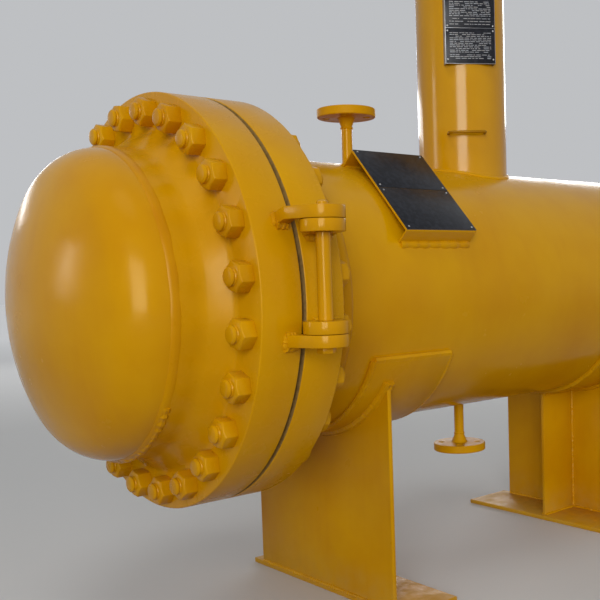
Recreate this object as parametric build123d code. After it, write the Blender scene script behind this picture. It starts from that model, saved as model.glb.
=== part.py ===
from build123d import *
import math
import os

# A horizontal filter separator on two saddles, in millimetres.
# The vessel lies along X with its hinged closure at the low end, and the hinge is on the -Y side.
# The origin is on the ground, under the middle of the front saddle's base plate.

# Heights and stations along the vessel
axis_height = 694.0
joint_x = -395.0
shell_end_x = 1102.0
rear_saddle_to_shell_end = 298.0

# Shell and heads
shell_outer_radius = 305.0
shell_wall = 20.0
cover_head_inset = 3.0
cover_head_straight = 3.0
rear_head_straight = 25.0
head_ratio = 2.0
head_knuckle = 104.0

# Closure flanges, one on the shell and one on the cover
flange_thickness = 84.0
flange_rim_chamfer = 2.0
hub_root_step = 30.0
hub_taper_length = 52.0
hub_barrel_length = 43.0
raised_face_height = 2.0
gasket_thickness = 4.5
gasket_outer_inset = 7.0
gasket_inner_inset = 15.0
stud_circle_step = 70.0
stud_circle_to_rim = 40.0
stud_count = 24
stud_hole_radius = 19.5

# Closure hinge
pin_joint_offset = 13.0
pin_rim_offset = 43.0
pin_radius = 10.0
pin_running_clearance = 0.06
pin_top_stand = 9.0
pin_head_flats = 30.0
pin_head_height = 10.0
sleeve_wall = 3.0
lug_end_radius = 40.0
lug_thickness = 22.0
lug_seam = 1.0
lug_neck_stand = 5.0
lug_neck_strip = 1.0
lug_root_depth = 60.0
lug_joint_margin = 9.0
lug_bend_offset = 3.0
upper_lug_bend = 17.0
upper_seam_height = 143.5
lower_seam_height = -53.0
cover_lug_root = 26.0
shell_lug_root = 62.0

# Small nozzles
nozzle_neck_radius = 12.7
nozzle_wall = 3.7
nozzle_flange_radius = 69.0
nozzle_flange_thickness = 20.0
nozzle_hub_step = 8.3
nozzle_hub_length = 24.0
nozzle_bolt_circle_radius = 48.0
nozzle_bolt_hole_radius = 9.0
nozzle_bolt_count = 4
vent_x = 38.0
vent_stand = 131.0
drain_x = 390.0
drain_stand = 126.0

# Standing column on the crown
column_x = 428.0
column_outer_radius = 116.0
column_wall = 10.0
column_height = 478.0
cap_straight = 14.0
cap_wall = 10.0
cap_knuckle = 40.0

# Plate bracket and bar bracket on the column, each turned from -Y towards the closure
column_bracket_turn = 33.0
column_bracket_rise = 262.0
column_bracket_width = 129.0
column_bracket_stand = 3.3
column_bracket_sheet = 3.0
column_plate_height = 86.0
bar_turn = 39.5
bar_rise = 91.0
bar_span = 92.0
bar_reach = 20.0
bar_radius = 3.5
bar_bend_ratio = 3.0

# Name plate bracket on the shell
bracket_x = -57.0
bracket_width = 209.0
bracket_tilt = 43.5
bracket_stand = 13.7
bracket_low_edge = -116.0
bracket_high_edge = 139.0
bracket_sheet = 4.0
plate_seam = 14.6

# Thin plates on both brackets
plate_thickness = 2.0
plate_seam_gap = 1.5
plate_margin = 1.5

# Saddles
base_length = 160.0
base_half_span = 293.0
base_thickness = 12.0
web_thickness = 10.0
web_end_inset = 37.0
web_edge_inset = 3.0
rib_thickness = 10.0
rib_end_inset = 13.0
pad_thickness = 10.0
pad_width = 220.0
pad_web_offset = 57.0
pad_edge_angle = 25.5

# Values that follow from the sizes above
shell_inner_radius = shell_outer_radius - shell_wall
cover_head_outer_radius = shell_outer_radius - cover_head_inset
hub_root_radius = shell_outer_radius + hub_root_step
stud_circle_radius = shell_outer_radius + stud_circle_step
flange_outer_radius = stud_circle_radius + stud_circle_to_rim
gasket_outer_radius = hub_root_radius - gasket_outer_inset
gasket_inner_radius = shell_inner_radius + gasket_inner_inset
pin_x = joint_x + pin_joint_offset
pin_y = -(flange_outer_radius + pin_rim_offset)
nozzle_bore_radius = nozzle_neck_radius - nozzle_wall
vent_face_height = shell_outer_radius + vent_stand
drain_face_height = -(shell_outer_radius + drain_stand)
column_top_height = shell_outer_radius + column_height
joint_gap = gasket_thickness + 2 * raised_face_height
shell_flange_face_x = joint_x + joint_gap / 2
cover_flange_face_x = joint_x - joint_gap / 2
hub_length = hub_taper_length + hub_barrel_length
pad_outer_radius = shell_outer_radius + pad_thickness
rear_saddle_x = shell_end_x - rear_saddle_to_shell_end


def at_axis(x, along=1):
    """A plane square to the vessel's axis, at station x, facing +X or -X."""
    return Plane(origin=(x, 0, axis_height), x_dir=(0, 1, 0), z_dir=(along, 0, 0))


def drum(radius):
    """A solid cylinder on the vessel's axis, as long as the whole vessel."""
    start_x = joint_x - flange_thickness - hub_length
    return at_axis(start_x) * extrude(Circle(radius), shell_end_x - start_x)


def wedge(half_angle, reach):
    """A triangle with its tip on the centre, open towards -Y by an angle to each side."""
    half_width = reach * math.tan(math.radians(half_angle))
    return make_face(Polyline((0, 0), (half_width, -reach), (-half_width, -reach), close=True))


def dished_end(outer_radius, knuckle_radius, wall, straight):
    """A dished end of crown and knuckle arcs with a straight skirt, opening at height zero."""
    depth = outer_radius / head_ratio
    side = outer_radius - knuckle_radius
    crown_radius = (depth**2 + side**2 - knuckle_radius**2) / (2 * (depth - knuckle_radius))
    crown_centre = (0, straight + depth - crown_radius)
    knuckle_centre = (side, straight)
    turn = math.degrees(math.atan2(crown_radius - depth, side))

    def skin(offset):
        knuckle = CenterArc(knuckle_centre, knuckle_radius - offset, 0, turn)
        return knuckle, CenterArc(crown_centre, crown_radius - offset, turn, 90 - turn)

    outer_knuckle, outer_crown = skin(0)
    inner_knuckle, inner_crown = skin(wall)
    top = Line(outer_crown @ 1, inner_crown @ 1)
    skirt = Polyline(inner_knuckle @ 0, (outer_radius - wall, 0), (outer_radius, 0), outer_knuckle @ 0)
    outline = [outer_knuckle, outer_crown, top, inner_crown, inner_knuckle, skirt]
    return revolve(Plane.XZ * make_face(outline), Axis.Z)


def closure_flange(small_end_radius):
    """A weld neck flange: its joint plane at height zero, its hub rising along Z."""
    face_z = raised_face_height
    back_z = face_z + flange_thickness
    outline = Polyline(
        (shell_inner_radius, 0),
        (hub_root_radius, 0),
        (hub_root_radius, face_z),
        (flange_outer_radius, face_z),
        (flange_outer_radius, back_z),
        (hub_root_radius, back_z),
        (small_end_radius, back_z + hub_taper_length),
        (small_end_radius, back_z + hub_length),
        (shell_inner_radius, back_z + hub_length),
        close=True,
    )
    ring = revolve(Plane.XZ * make_face(outline), Axis.Z)
    rim_edges = ring.edges().filter_by(GeomType.CIRCLE).group_by(SortBy.RADIUS)[-1]
    ring = chamfer(rim_edges, flange_rim_chamfer)
    step = 360 / stud_count
    holes = PolarLocations(stud_circle_radius, stud_count, start_angle=step / 2)
    return ring - extrude(Sketch() + holes * Circle(stud_hole_radius), back_z)


def hinge_lug(root_start_x, root_width, bottom, bend=0):
    """A lug from a flange rim to the hinge pin, bored for the pin, bent down towards the rim."""
    neck_y = -(flange_outer_radius + lug_neck_stand)
    root_middle_x = root_start_x + root_width / 2
    neck = Pos(root_middle_x, neck_y) * Rectangle(root_width, lug_neck_strip)
    eye = Pos(pin_x, pin_y) * Circle(lug_end_radius)
    root = Rectangle(root_width, lug_root_depth, align=(Align.CENTER, Align.MIN))
    root = Pos(root_middle_x, neck_y) * root
    outline = make_hull(neck.edges() + eye.edges()) + root
    eye_y = pin_y - lug_end_radius
    bend_y = -(flange_outer_radius + lug_bend_offset)
    root_y = neck_y + lug_root_depth
    fall = (root_y - bend_y) * math.tan(math.radians(bend))
    side = Polyline(
        (eye_y, bottom),
        (bend_y, bottom),
        (root_y, bottom - fall),
        (root_y, bottom - fall + lug_thickness),
        (bend_y, bottom + lug_thickness),
        (eye_y, bottom + lug_thickness),
        close=True,
    )
    band_start_x = min(root_start_x, pin_x - lug_end_radius)
    band_end_x = max(root_start_x + root_width, pin_x + lug_end_radius)
    band = at_axis(band_start_x) * extrude(make_face(side), band_end_x - band_start_x)
    post = extrude(Pos(0, 0, axis_height + bottom - fall) * outline, fall + lug_thickness)
    bore = upright(pin_radius + pin_running_clearance, pin_x, pin_y, bottom, bottom + lug_thickness)
    return (band & post) - bore - drum(flange_outer_radius)


def upright(radius, x, y, z_start, z_end):
    """A solid upright cylinder between two heights above the vessel's axis."""
    base = Pos(x, y, axis_height + min(z_start, z_end))
    return base * Cylinder(radius, abs(z_end - z_start), align=(Align.CENTER, Align.CENTER, Align.MIN))


def nozzle(x, face_height):
    """The neck and the weld neck flange of a small upright nozzle, above or below the shell."""
    up = 1 if face_height > 0 else -1
    frame = Plane(origin=(x, 0, axis_height), x_dir=(1, 0, 0), z_dir=(0, 0, up))
    reach = abs(face_height)
    back = reach - nozzle_flange_thickness
    hub_start = back - nozzle_hub_length
    outline = Polyline(
        (nozzle_bore_radius, hub_start),
        (nozzle_neck_radius, hub_start),
        (nozzle_neck_radius + nozzle_hub_step, back),
        (nozzle_flange_radius, back),
        (nozzle_flange_radius, reach),
        (nozzle_bore_radius, reach),
        close=True,
    )
    flange = revolve(Plane.XZ * make_face(outline), Axis.Z)
    spots = PolarLocations(nozzle_bolt_circle_radius, nozzle_bolt_count, start_angle=45)
    holes = Pos(0, 0, back) * (Sketch() + spots * Circle(nozzle_bolt_hole_radius))
    flange -= extrude(holes, nozzle_flange_thickness)
    pipe = extrude(Circle(nozzle_neck_radius) - Circle(nozzle_bore_radius), hub_start)
    return frame * pipe - drum(shell_outer_radius), frame * flange


def saddle(middle_x, inward):
    """Pad, web, rib and base plate of a saddle. The rib looks inward, along +X or -X."""
    outer_edge_x = middle_x - inward * base_length / 2
    web_outer_x = outer_edge_x + inward * web_edge_inset
    web_inner_x = web_outer_x + inward * web_thickness
    web_middle_x = (web_outer_x + web_inner_x) / 2
    rib_end_x = middle_x + inward * (base_length / 2 - rib_end_inset)
    upright_plate = (Align.CENTER, Align.CENTER, Align.MIN)

    base = Pos(middle_x, 0) * Box(
        base_length, 2 * base_half_span, base_thickness, align=upright_plate
    )

    pad_start_x = web_middle_x - inward * pad_web_offset
    pad_end_x = pad_start_x + inward * pad_width
    pad_low, pad_high = sorted((pad_start_x, pad_end_x))
    ring = Circle(pad_outer_radius) - Circle(shell_outer_radius)
    band = ring & wedge(90 - pad_edge_angle, 2 * pad_outer_radius)
    pad = at_axis(pad_low) * extrude(band, pad_high - pad_low)

    pad_body = drum(pad_outer_radius)
    web_height = axis_height - base_thickness
    web = Pos(web_middle_x, 0, base_thickness) * Box(
        web_thickness, 2 * (base_half_span - web_end_inset), web_height, align=upright_plate
    )
    web -= pad_body
    rib_depth = abs(rib_end_x - web_inner_x)
    rib = Pos((web_inner_x + rib_end_x) / 2, 0, base_thickness) * Box(
        rib_depth, rib_thickness, web_height, align=upright_plate
    )
    rib -= pad_body
    return pad, web, rib, base


def folded_bracket(face, length, low_edge, high_edge, sheet, depth):
    """A folded sheet under a plane: a face between two edges, with a return down from each."""
    height = high_edge - low_edge
    middle = Pos(length / 2, (high_edge + low_edge) / 2)
    block = middle * extrude(Rectangle(length, height), -depth)
    hollow = extrude(Rectangle(length, height - 2 * sheet), -depth)
    return face * (block - middle * Pos(0, 0, -sheet) * hollow)


def thin_plate(face, x_low, x_high, y_low, y_high):
    """A thin plate that lies on a plane, between limits along its two directions."""
    outline = Rectangle(x_high - x_low, y_high - y_low)
    outline = Pos((x_low + x_high) / 2, (y_low + y_high) / 2) * outline
    return face * extrude(outline, plate_thickness)


def name_plate_bracket():
    """A folded sheet that stands off the shell, and the two thin plates on it."""
    tilt = math.radians(bracket_tilt)
    outward = Vector(0, -math.cos(tilt), math.sin(tilt))
    foot = Vector(bracket_x, 0, axis_height)
    face = Plane(foot + outward * (shell_outer_radius + bracket_stand), x_dir=(1, 0, 0), z_dir=outward)
    bracket = folded_bracket(
        face, bracket_width, bracket_low_edge, bracket_high_edge, bracket_sheet, shell_outer_radius
    )
    ends = (plate_margin, bracket_width - plate_margin)
    half_gap = plate_seam_gap / 2
    lower = thin_plate(face, *ends, bracket_low_edge + plate_margin, plate_seam - half_gap)
    upper = thin_plate(face, *ends, plate_seam + half_gap, bracket_high_edge - plate_margin)
    return bracket - drum(shell_outer_radius), lower, upper


def column_parts():
    """The column's pipe and cap, its plate bracket with two thin plates, and its bar bracket."""
    centre = Pos(column_x, 0, axis_height)
    tube = Circle(column_outer_radius) - Circle(column_outer_radius - column_wall)
    pipe = centre * extrude(tube, column_top_height) - drum(shell_outer_radius)
    cap_plane = centre * Pos(0, 0, column_top_height)
    cap = cap_plane * dished_end(column_outer_radius, cap_knuckle, cap_wall, cap_straight)

    pipe_body = extrude(Circle(column_outer_radius), column_top_height)
    turn = math.radians(column_bracket_turn)
    outward = Vector(-math.sin(turn), -math.cos(turn), 0)
    foot = Vector(column_x, 0, axis_height + shell_outer_radius + column_bracket_rise)
    reach = column_outer_radius + column_bracket_stand
    face = Plane(foot + outward * reach, x_dir=(0, 0, 1), z_dir=outward)
    half_width = column_bracket_width / 2
    plate_step = column_plate_height + plate_seam_gap
    length = plate_step + column_plate_height + 2 * plate_margin
    bracket = folded_bracket(
        face, length, -half_width, half_width, column_bracket_sheet, column_outer_radius
    )
    bracket -= centre * pipe_body
    sides = (plate_margin - half_width, half_width - plate_margin)
    lower = thin_plate(face, plate_margin, plate_margin + column_plate_height, *sides)
    upper_start = plate_margin + plate_step
    upper = thin_plate(face, upper_start, upper_start + column_plate_height, *sides)

    half_span = bar_span / 2
    seat_y = -math.sqrt(column_outer_radius**2 - half_span**2) + bar_radius
    front_y = -(column_outer_radius + bar_reach)
    bar_height = shell_outer_radius + bar_rise
    path = FilletPolyline(
        (-half_span, seat_y, bar_height),
        (-half_span, front_y, bar_height),
        (half_span, front_y, bar_height),
        (half_span, seat_y, bar_height),
        radius=bar_bend_ratio * bar_radius,
    )
    section = Plane(origin=path @ 0, z_dir=path % 0) * Circle(bar_radius)
    bar = sweep(section, path) - pipe_body
    bar = centre * Rot(0, 0, -bar_turn) * bar
    return pipe, cap, bracket, lower, upper, bar


parts = {}

# Closure cover
cover_plane = at_axis(cover_flange_face_x + raised_face_height, along=-1)
parts["cover_flange"] = cover_plane * closure_flange(shell_outer_radius)
cover_head_x = cover_flange_face_x - flange_thickness - hub_length
cover_head_wall = cover_head_outer_radius - shell_inner_radius
parts["cover_head"] = at_axis(cover_head_x, along=-1) * dished_end(
    cover_head_outer_radius, head_knuckle, cover_head_wall, cover_head_straight
)

# Shell with its flange and rear head
shell_plane = at_axis(shell_flange_face_x - raised_face_height)
parts["shell_flange"] = shell_plane * closure_flange(shell_outer_radius)
gasket_ring = Circle(gasket_outer_radius) - Circle(gasket_inner_radius)
parts["gasket"] = at_axis(joint_x - gasket_thickness / 2) * extrude(gasket_ring, gasket_thickness)
shell_start_x = shell_flange_face_x + flange_thickness + hub_length
shell_ring = Circle(shell_outer_radius) - Circle(shell_inner_radius)
shell = at_axis(shell_start_x) * extrude(shell_ring, shell_end_x - shell_start_x)
shell -= upright(column_outer_radius - column_wall, column_x, 0, 0, column_top_height)
shell -= upright(nozzle_bore_radius, vent_x, 0, 0, vent_face_height)
shell -= upright(nozzle_bore_radius, drain_x, 0, 0, drain_face_height)
parts["shell"] = shell
parts["rear_head"] = at_axis(shell_end_x) * dished_end(
    shell_outer_radius, head_knuckle, shell_wall, rear_head_straight
)

# Closure hinge: the cover's lugs lie outside the shell's lugs
cover_root_end_x = cover_flange_face_x - lug_joint_margin
shell_root_start_x = shell_flange_face_x + lug_joint_margin
cover_root_start_x = cover_root_end_x - cover_lug_root
parts["upper_cover_lug"] = hinge_lug(
    cover_root_start_x, cover_lug_root, upper_seam_height + lug_seam, upper_lug_bend
)
parts["lower_cover_lug"] = hinge_lug(
    cover_root_start_x, cover_lug_root, lower_seam_height - lug_seam - lug_thickness
)
parts["upper_shell_lug"] = hinge_lug(
    shell_root_start_x, shell_lug_root, upper_seam_height - lug_thickness, upper_lug_bend
)
parts["lower_shell_lug"] = hinge_lug(shell_root_start_x, shell_lug_root, lower_seam_height)
pin_top = upper_seam_height + lug_seam + lug_thickness + pin_top_stand
pin_bottom = lower_seam_height - lug_thickness - 2 * lug_seam
pin_head = RegularPolygon(pin_head_flats / 2, 6, major_radius=False)
pin_head = Pos(pin_x, pin_y, axis_height + pin_bottom) * extrude(pin_head, -pin_head_height)
parts["hinge_pin"] = upright(pin_radius, pin_x, pin_y, pin_bottom, pin_top) + pin_head
sleeve_bottom = lower_seam_height + lug_thickness
sleeve_top = upper_seam_height - lug_thickness
sleeve_bore_radius = pin_radius + pin_running_clearance
sleeve_body = upright(sleeve_bore_radius + sleeve_wall, pin_x, pin_y, sleeve_bottom, sleeve_top)
sleeve_bore = upright(sleeve_bore_radius, pin_x, pin_y, sleeve_bottom, sleeve_top)
parts["hinge_sleeve"] = sleeve_body - sleeve_bore

# Nozzles
parts["vent_neck"], parts["vent_flange"] = nozzle(vent_x, vent_face_height)
parts["drain_neck"], parts["drain_flange"] = nozzle(drain_x, drain_face_height)

# Column and plates
(
    parts["column_pipe"],
    parts["column_cap"],
    parts["column_plate_bracket"],
    parts["lower_column_plate"],
    parts["upper_column_plate"],
    parts["column_bar_bracket"],
) = column_parts()
(
    parts["name_plate_bracket"],
    parts["lower_name_plate"],
    parts["upper_name_plate"],
) = name_plate_bracket()

# Saddles
for place, middle_x, inward in (("front", 0.0, 1), ("rear", rear_saddle_x, -1)):
    pad, web, rib, base = saddle(middle_x, inward)
    parts[f"{place}_saddle_pad"] = pad
    parts[f"{place}_saddle_web"] = web
    parts[f"{place}_saddle_rib"] = rib
    parts[f"{place}_base_plate"] = base

os.makedirs("parts", exist_ok=True)
for name, solid in parts.items():
    export_step(solid, f"parts/{name}.step")
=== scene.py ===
"""Looks of a horizontal filter separator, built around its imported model.

The vessel lies along X with its hinged closure at the low end. All sizes are in metres.
"""

from __future__ import annotations

import logging
import math
import random
from dataclasses import dataclass
from enum import Enum
from functools import cache
from typing import Callable, Iterable, Sequence

import bmesh
import bpy
from mathutils import Matrix, Vector


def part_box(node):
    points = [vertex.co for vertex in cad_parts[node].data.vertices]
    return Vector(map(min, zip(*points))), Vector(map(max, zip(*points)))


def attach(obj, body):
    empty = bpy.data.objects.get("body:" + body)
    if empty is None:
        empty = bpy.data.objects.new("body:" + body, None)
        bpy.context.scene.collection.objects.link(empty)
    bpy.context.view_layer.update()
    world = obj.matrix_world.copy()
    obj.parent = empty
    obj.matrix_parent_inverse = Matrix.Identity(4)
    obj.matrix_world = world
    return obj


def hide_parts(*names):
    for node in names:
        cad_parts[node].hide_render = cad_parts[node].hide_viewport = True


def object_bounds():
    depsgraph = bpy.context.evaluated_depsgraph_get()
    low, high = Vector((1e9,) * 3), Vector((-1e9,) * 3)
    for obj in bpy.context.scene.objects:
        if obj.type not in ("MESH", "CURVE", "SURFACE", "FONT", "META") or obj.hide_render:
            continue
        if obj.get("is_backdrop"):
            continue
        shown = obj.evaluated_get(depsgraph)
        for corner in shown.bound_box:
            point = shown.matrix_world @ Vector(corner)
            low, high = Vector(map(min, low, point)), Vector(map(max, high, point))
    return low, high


LOG = logging.getLogger("filter_separator")
IMAGE_SIDE = 600.0
SENSOR_WIDTH = 36.0
ROUND_STEPS = 160
COLUMN_STEPS = 128
SMALL_STEPS = 48
SHARP_ANGLE = math.radians(32.0)
FLAT_ANGLE = math.radians(1.0)
SQUARE_ANGLE = math.radians(50.0)
HALF = 0.5
X_AXIS = Vector((1.0, 0.0, 0.0))
Z_AXIS = Vector((0.0, 0.0, 1.0))

Mesh = bmesh.types.BMesh
Socket = bpy.types.NodeSocket
Span = tuple[float, float]
Profile = Sequence[Span]
Colour = tuple[float, float, float]

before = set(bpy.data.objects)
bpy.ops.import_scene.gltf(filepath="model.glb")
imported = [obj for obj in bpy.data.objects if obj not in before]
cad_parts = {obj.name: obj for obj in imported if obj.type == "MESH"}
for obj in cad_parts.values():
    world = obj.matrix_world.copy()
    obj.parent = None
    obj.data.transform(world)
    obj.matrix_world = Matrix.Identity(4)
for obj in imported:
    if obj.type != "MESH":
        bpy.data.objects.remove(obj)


class Body(Enum):
    """The bodies that pieces ride on."""

    COVER = "cover"
    VESSEL = "vessel"


class Slot(Enum):
    """The record's material slots."""

    SHELL = "shell_paint"
    FLANGE = "flange_paint"
    NOZZLE = "nozzle_paint"
    SADDLE = "saddle_paint"
    HINGE = "hinge_paint"
    PLATE = "engraved_plate"
    GASKET = "gasket"


class Cut(Enum):
    """How one closed mesh changes another."""

    REMOVE = "DIFFERENCE"
    KEEP_COMMON = "INTERSECT"


# Mesh making


def close_up(bm: Mesh) -> Mesh:
    """Merges a mesh's doubles and turns its faces outwards.

    Args:
        bm: The mesh to change.

    Returns:
        The same mesh.
    """
    bmesh.ops.remove_doubles(bm, verts=bm.verts, dist=1e-6)
    bmesh.ops.recalc_face_normals(bm, faces=bm.faces)
    return bm


def lathe(profile: Profile, origin: Vector, axis: Vector, steps: int = ROUND_STEPS) -> Mesh:
    """Spins an outline of (height, radius) points about an axis into a closed solid.

    Args:
        profile: The outline. Where both its ends lie on the axis, it is left open there.
        origin: The point of height zero on the axis.
        axis: The direction of growing height.
        steps: How many steps the full turn takes.

    Returns:
        The solid.
    """
    side = axis.orthogonal().normalized()
    bm = bmesh.new()
    verts = [bm.verts.new(origin + axis * height + side * radius) for height, radius in profile]
    on_axis = profile[0][1] == 0.0 and profile[-1][1] == 0.0
    ends = verts[1:] if on_axis else verts[1:] + verts[:1]
    edges = [bm.edges.new(pair) for pair in zip(verts, ends)]
    bmesh.ops.spin(
        bm, geom=verts + edges, cent=origin, axis=axis, angle=math.tau, steps=steps, use_merge=True
    )
    return close_up(bm)


def rod(radius: float, span: Span, origin: Vector, axis: Vector, steps: int) -> Mesh:
    """A round rod between two heights of an axis."""
    low, high = span
    return lathe([(low, 0.0), (low, radius), (high, radius), (high, 0.0)], origin, axis, steps)


def pipe(
    radii: Span, span: Span, origin: Vector, axis: Vector, steps: int = ROUND_STEPS, bands: int = 1
) -> Mesh:
    """A round pipe between two heights of an axis.

    Args:
        radii: Its inner and outer radius.
        span: The heights of its ends.
        origin: The point of height zero on the axis.
        axis: The direction of growing height.
        steps: How many steps the full turn takes.
        bands: How many bands its outer side has along the axis.

    Returns:
        The solid.
    """
    inner, outer = radii
    low, high = span
    outline = [(low + (high - low) * i / bands, outer) for i in range(bands + 1)]
    return lathe(outline + [(high, inner), (low, inner)], origin, axis, steps)


@dataclass(frozen=True)
class DishedEnd:
    """A dished end of crown and knuckle arcs, half as deep as its radius."""

    radius: float
    wall: float
    knuckle: float
    straight: float
    outer_arc: int = 18
    inner_arc: int = 12

    def skin(self, offset: float, count: int) -> list[Span]:
        """The arcs of one side of the wall.

        Args:
            offset: How far it lies inside the outer side.
            count: How many steps each arc takes.

        Returns:
            The points from the skirt to the pole.
        """
        depth = self.radius * HALF
        side = self.radius - self.knuckle
        crown = (depth**2 + side**2 - self.knuckle**2) / (2.0 * (depth - self.knuckle))
        bend = math.atan2(crown - depth, side)
        centre = self.straight + depth - crown
        points = []
        for start, end, rise, out, reach in (
            (0.0, bend, self.straight, side, self.knuckle - offset),
            (bend, math.pi * HALF, centre, 0.0, crown - offset),
        ):
            for i in range(count):
                turn = start + (end - start) * i / count
                points.append((rise + reach * math.sin(turn), out + reach * math.cos(turn)))
        return points + [(centre + crown - offset, 0.0)]

    def solid(self, origin: Vector, axis: Vector, steps: int = ROUND_STEPS) -> Mesh:
        """The end with its wall.

        Args:
            origin: The middle of its open side.
            axis: Which way it bulges.
            steps: How many steps the full turn takes.

        Returns:
            The solid.
        """
        skirt = [(0.0, self.radius), (0.0, self.radius - self.wall)]
        outer = self.skin(0.0, self.outer_arc)[::-1]
        return lathe(outer + skirt + self.skin(self.wall, self.inner_arc), origin, axis, steps)


def block(low: Vector, high: Vector) -> Mesh:
    """A box between two corners, as the start of a plate.

    Args:
        low: The lowest corner.
        high: The highest corner.

    Returns:
        The box.
    """
    bm = bmesh.new()
    bmesh.ops.create_cube(bm, size=1.0)
    bmesh.ops.scale(bm, vec=high - low, verts=bm.verts)
    bmesh.ops.translate(bm, vec=(low + high) * HALF, verts=bm.verts)
    return bm


def push(bm: Mesh, offset: Vector) -> Mesh:
    """Pushes a flat face along an offset into a solid.

    Args:
        bm: A mesh of one face.
        offset: How far and which way it is pushed.

    Returns:
        The same mesh, closed.
    """
    pushed = bmesh.ops.extrude_face_region(bm, geom=list(bm.faces))["geom"]
    raised = [item for item in pushed if isinstance(item, bmesh.types.BMVert)]
    bmesh.ops.translate(bm, vec=offset, verts=raised)
    bmesh.ops.recalc_face_normals(bm, faces=bm.faces)
    return bm


def extrude_outline(points: Iterable[Vector], offset: Vector) -> Mesh:
    """A flat outline pushed along an offset into a solid.

    Args:
        points: The outline's corners in order.
        offset: How far and which way the outline is pushed.

    Returns:
        The solid.
    """
    bm = bmesh.new()
    bm.faces.new([bm.verts.new(point) for point in points])
    return push(bm, offset)


def hexagon(flats: float, height: float, foot: Vector) -> Mesh:
    """An upright hexagon prism, for nuts and bolt heads.

    Args:
        flats: The width across its flats.
        height: Its height.
        foot: The middle of its lower face.

    Returns:
        The solid.
    """
    bm = bmesh.new()
    corner = flats / math.sqrt(3.0)
    place = Matrix.Translation(foot)
    bmesh.ops.create_circle(bm, cap_ends=True, segments=6, radius=corner, matrix=place)
    return push(bm, Z_AXIS * height)


def round_edges(bm: Mesh, edges: list, width: float, segments: int, clamp: bool = False) -> None:
    """Rounds chosen edges with a bevel."""
    bmesh.ops.bevel(
        bm, geom=edges, offset=width, segments=segments, profile=0.5, affect="EDGES", material=-1,
        clamp_overlap=clamp,
    )


def soften(bm: Mesh, width: float, segments: int = 2, angle: float = SHARP_ANGLE) -> None:
    """Rounds every edge that is sharper than an angle."""
    edges = [e for e in bm.edges if e.is_manifold and e.calc_face_angle() > angle]
    round_edges(bm, edges, width, segments, clamp=True)


def node_shape(node: str, edge: float) -> Mesh:
    """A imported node's own mesh with its edges rounded.

    Args:
        node: The node's name.
        edge: The width of the rounding.

    Returns:
        The mesh.
    """
    bm = bmesh.new()
    bm.from_mesh(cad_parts[node].data)
    bmesh.ops.remove_doubles(bm, verts=bm.verts, dist=1e-5)
    bmesh.ops.dissolve_limit(bm, angle_limit=FLAT_ANGLE, verts=bm.verts, edges=bm.edges)
    soften(bm, edge, angle=SQUARE_ANGLE)
    return bm


def join(parts: Iterable[Mesh]) -> Mesh:
    """Joins several meshes into one and frees them.

    Args:
        parts: The meshes to join.

    Returns:
        One mesh that holds them all.
    """
    whole = bmesh.new()
    for part in parts:
        mesh = bpy.data.meshes.new("joining")
        part.to_mesh(mesh)
        part.free()
        whole.from_mesh(mesh)
        bpy.data.meshes.remove(mesh)
    return whole


def carve(bm: Mesh, tool: Mesh, cut: Cut = Cut.REMOVE) -> Mesh:
    """Cuts one closed mesh with another and frees both.

    Args:
        bm: The mesh to cut.
        tool: The mesh that cuts.
        cut: Whether the tool is taken out or the common part is kept.

    Returns:
        The cut mesh.
    """
    objects = []
    for name, source in (("carved", bm), ("carver", tool)):
        mesh = bpy.data.meshes.new(name)
        source.to_mesh(mesh)
        source.free()
        objects.append(bpy.data.objects.new(name, mesh))
        bpy.context.scene.collection.objects.link(objects[-1])
    modifier = objects[0].modifiers.new("cut", "BOOLEAN")
    modifier.operation = cut.value
    modifier.solver = "EXACT"
    modifier.object = objects[1]
    result = bmesh.new()
    result.from_object(objects[0], bpy.context.evaluated_depsgraph_get())
    for item in objects:
        mesh = item.data
        bpy.data.objects.remove(item)
        bpy.data.meshes.remove(mesh)
    return result


def mark_bare(bm: Mesh, chosen: Callable[[Vector, Vector], bool]) -> None:
    """Marks faces as unpainted, for a piece with a second finish.

    Args:
        bm: The mesh to change.
        chosen: Says from a face's centre and normal whether it is unpainted.
    """
    bm.normal_update()
    for face in bm.faces:
        face.material_index = int(chosen(face.calc_center_median(), face.normal))


def middle_x(node: str) -> float:
    """The station of the middle of a node's box."""
    low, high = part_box(node)
    return (low.x + high.x) * HALF


def foot_of(node: str) -> Vector:
    """The middle of the lower side of a node's box."""
    low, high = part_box(node)
    return Vector(((low.x + high.x) * HALF, (low.y + high.y) * HALF, low.z))


# Finishes


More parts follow.
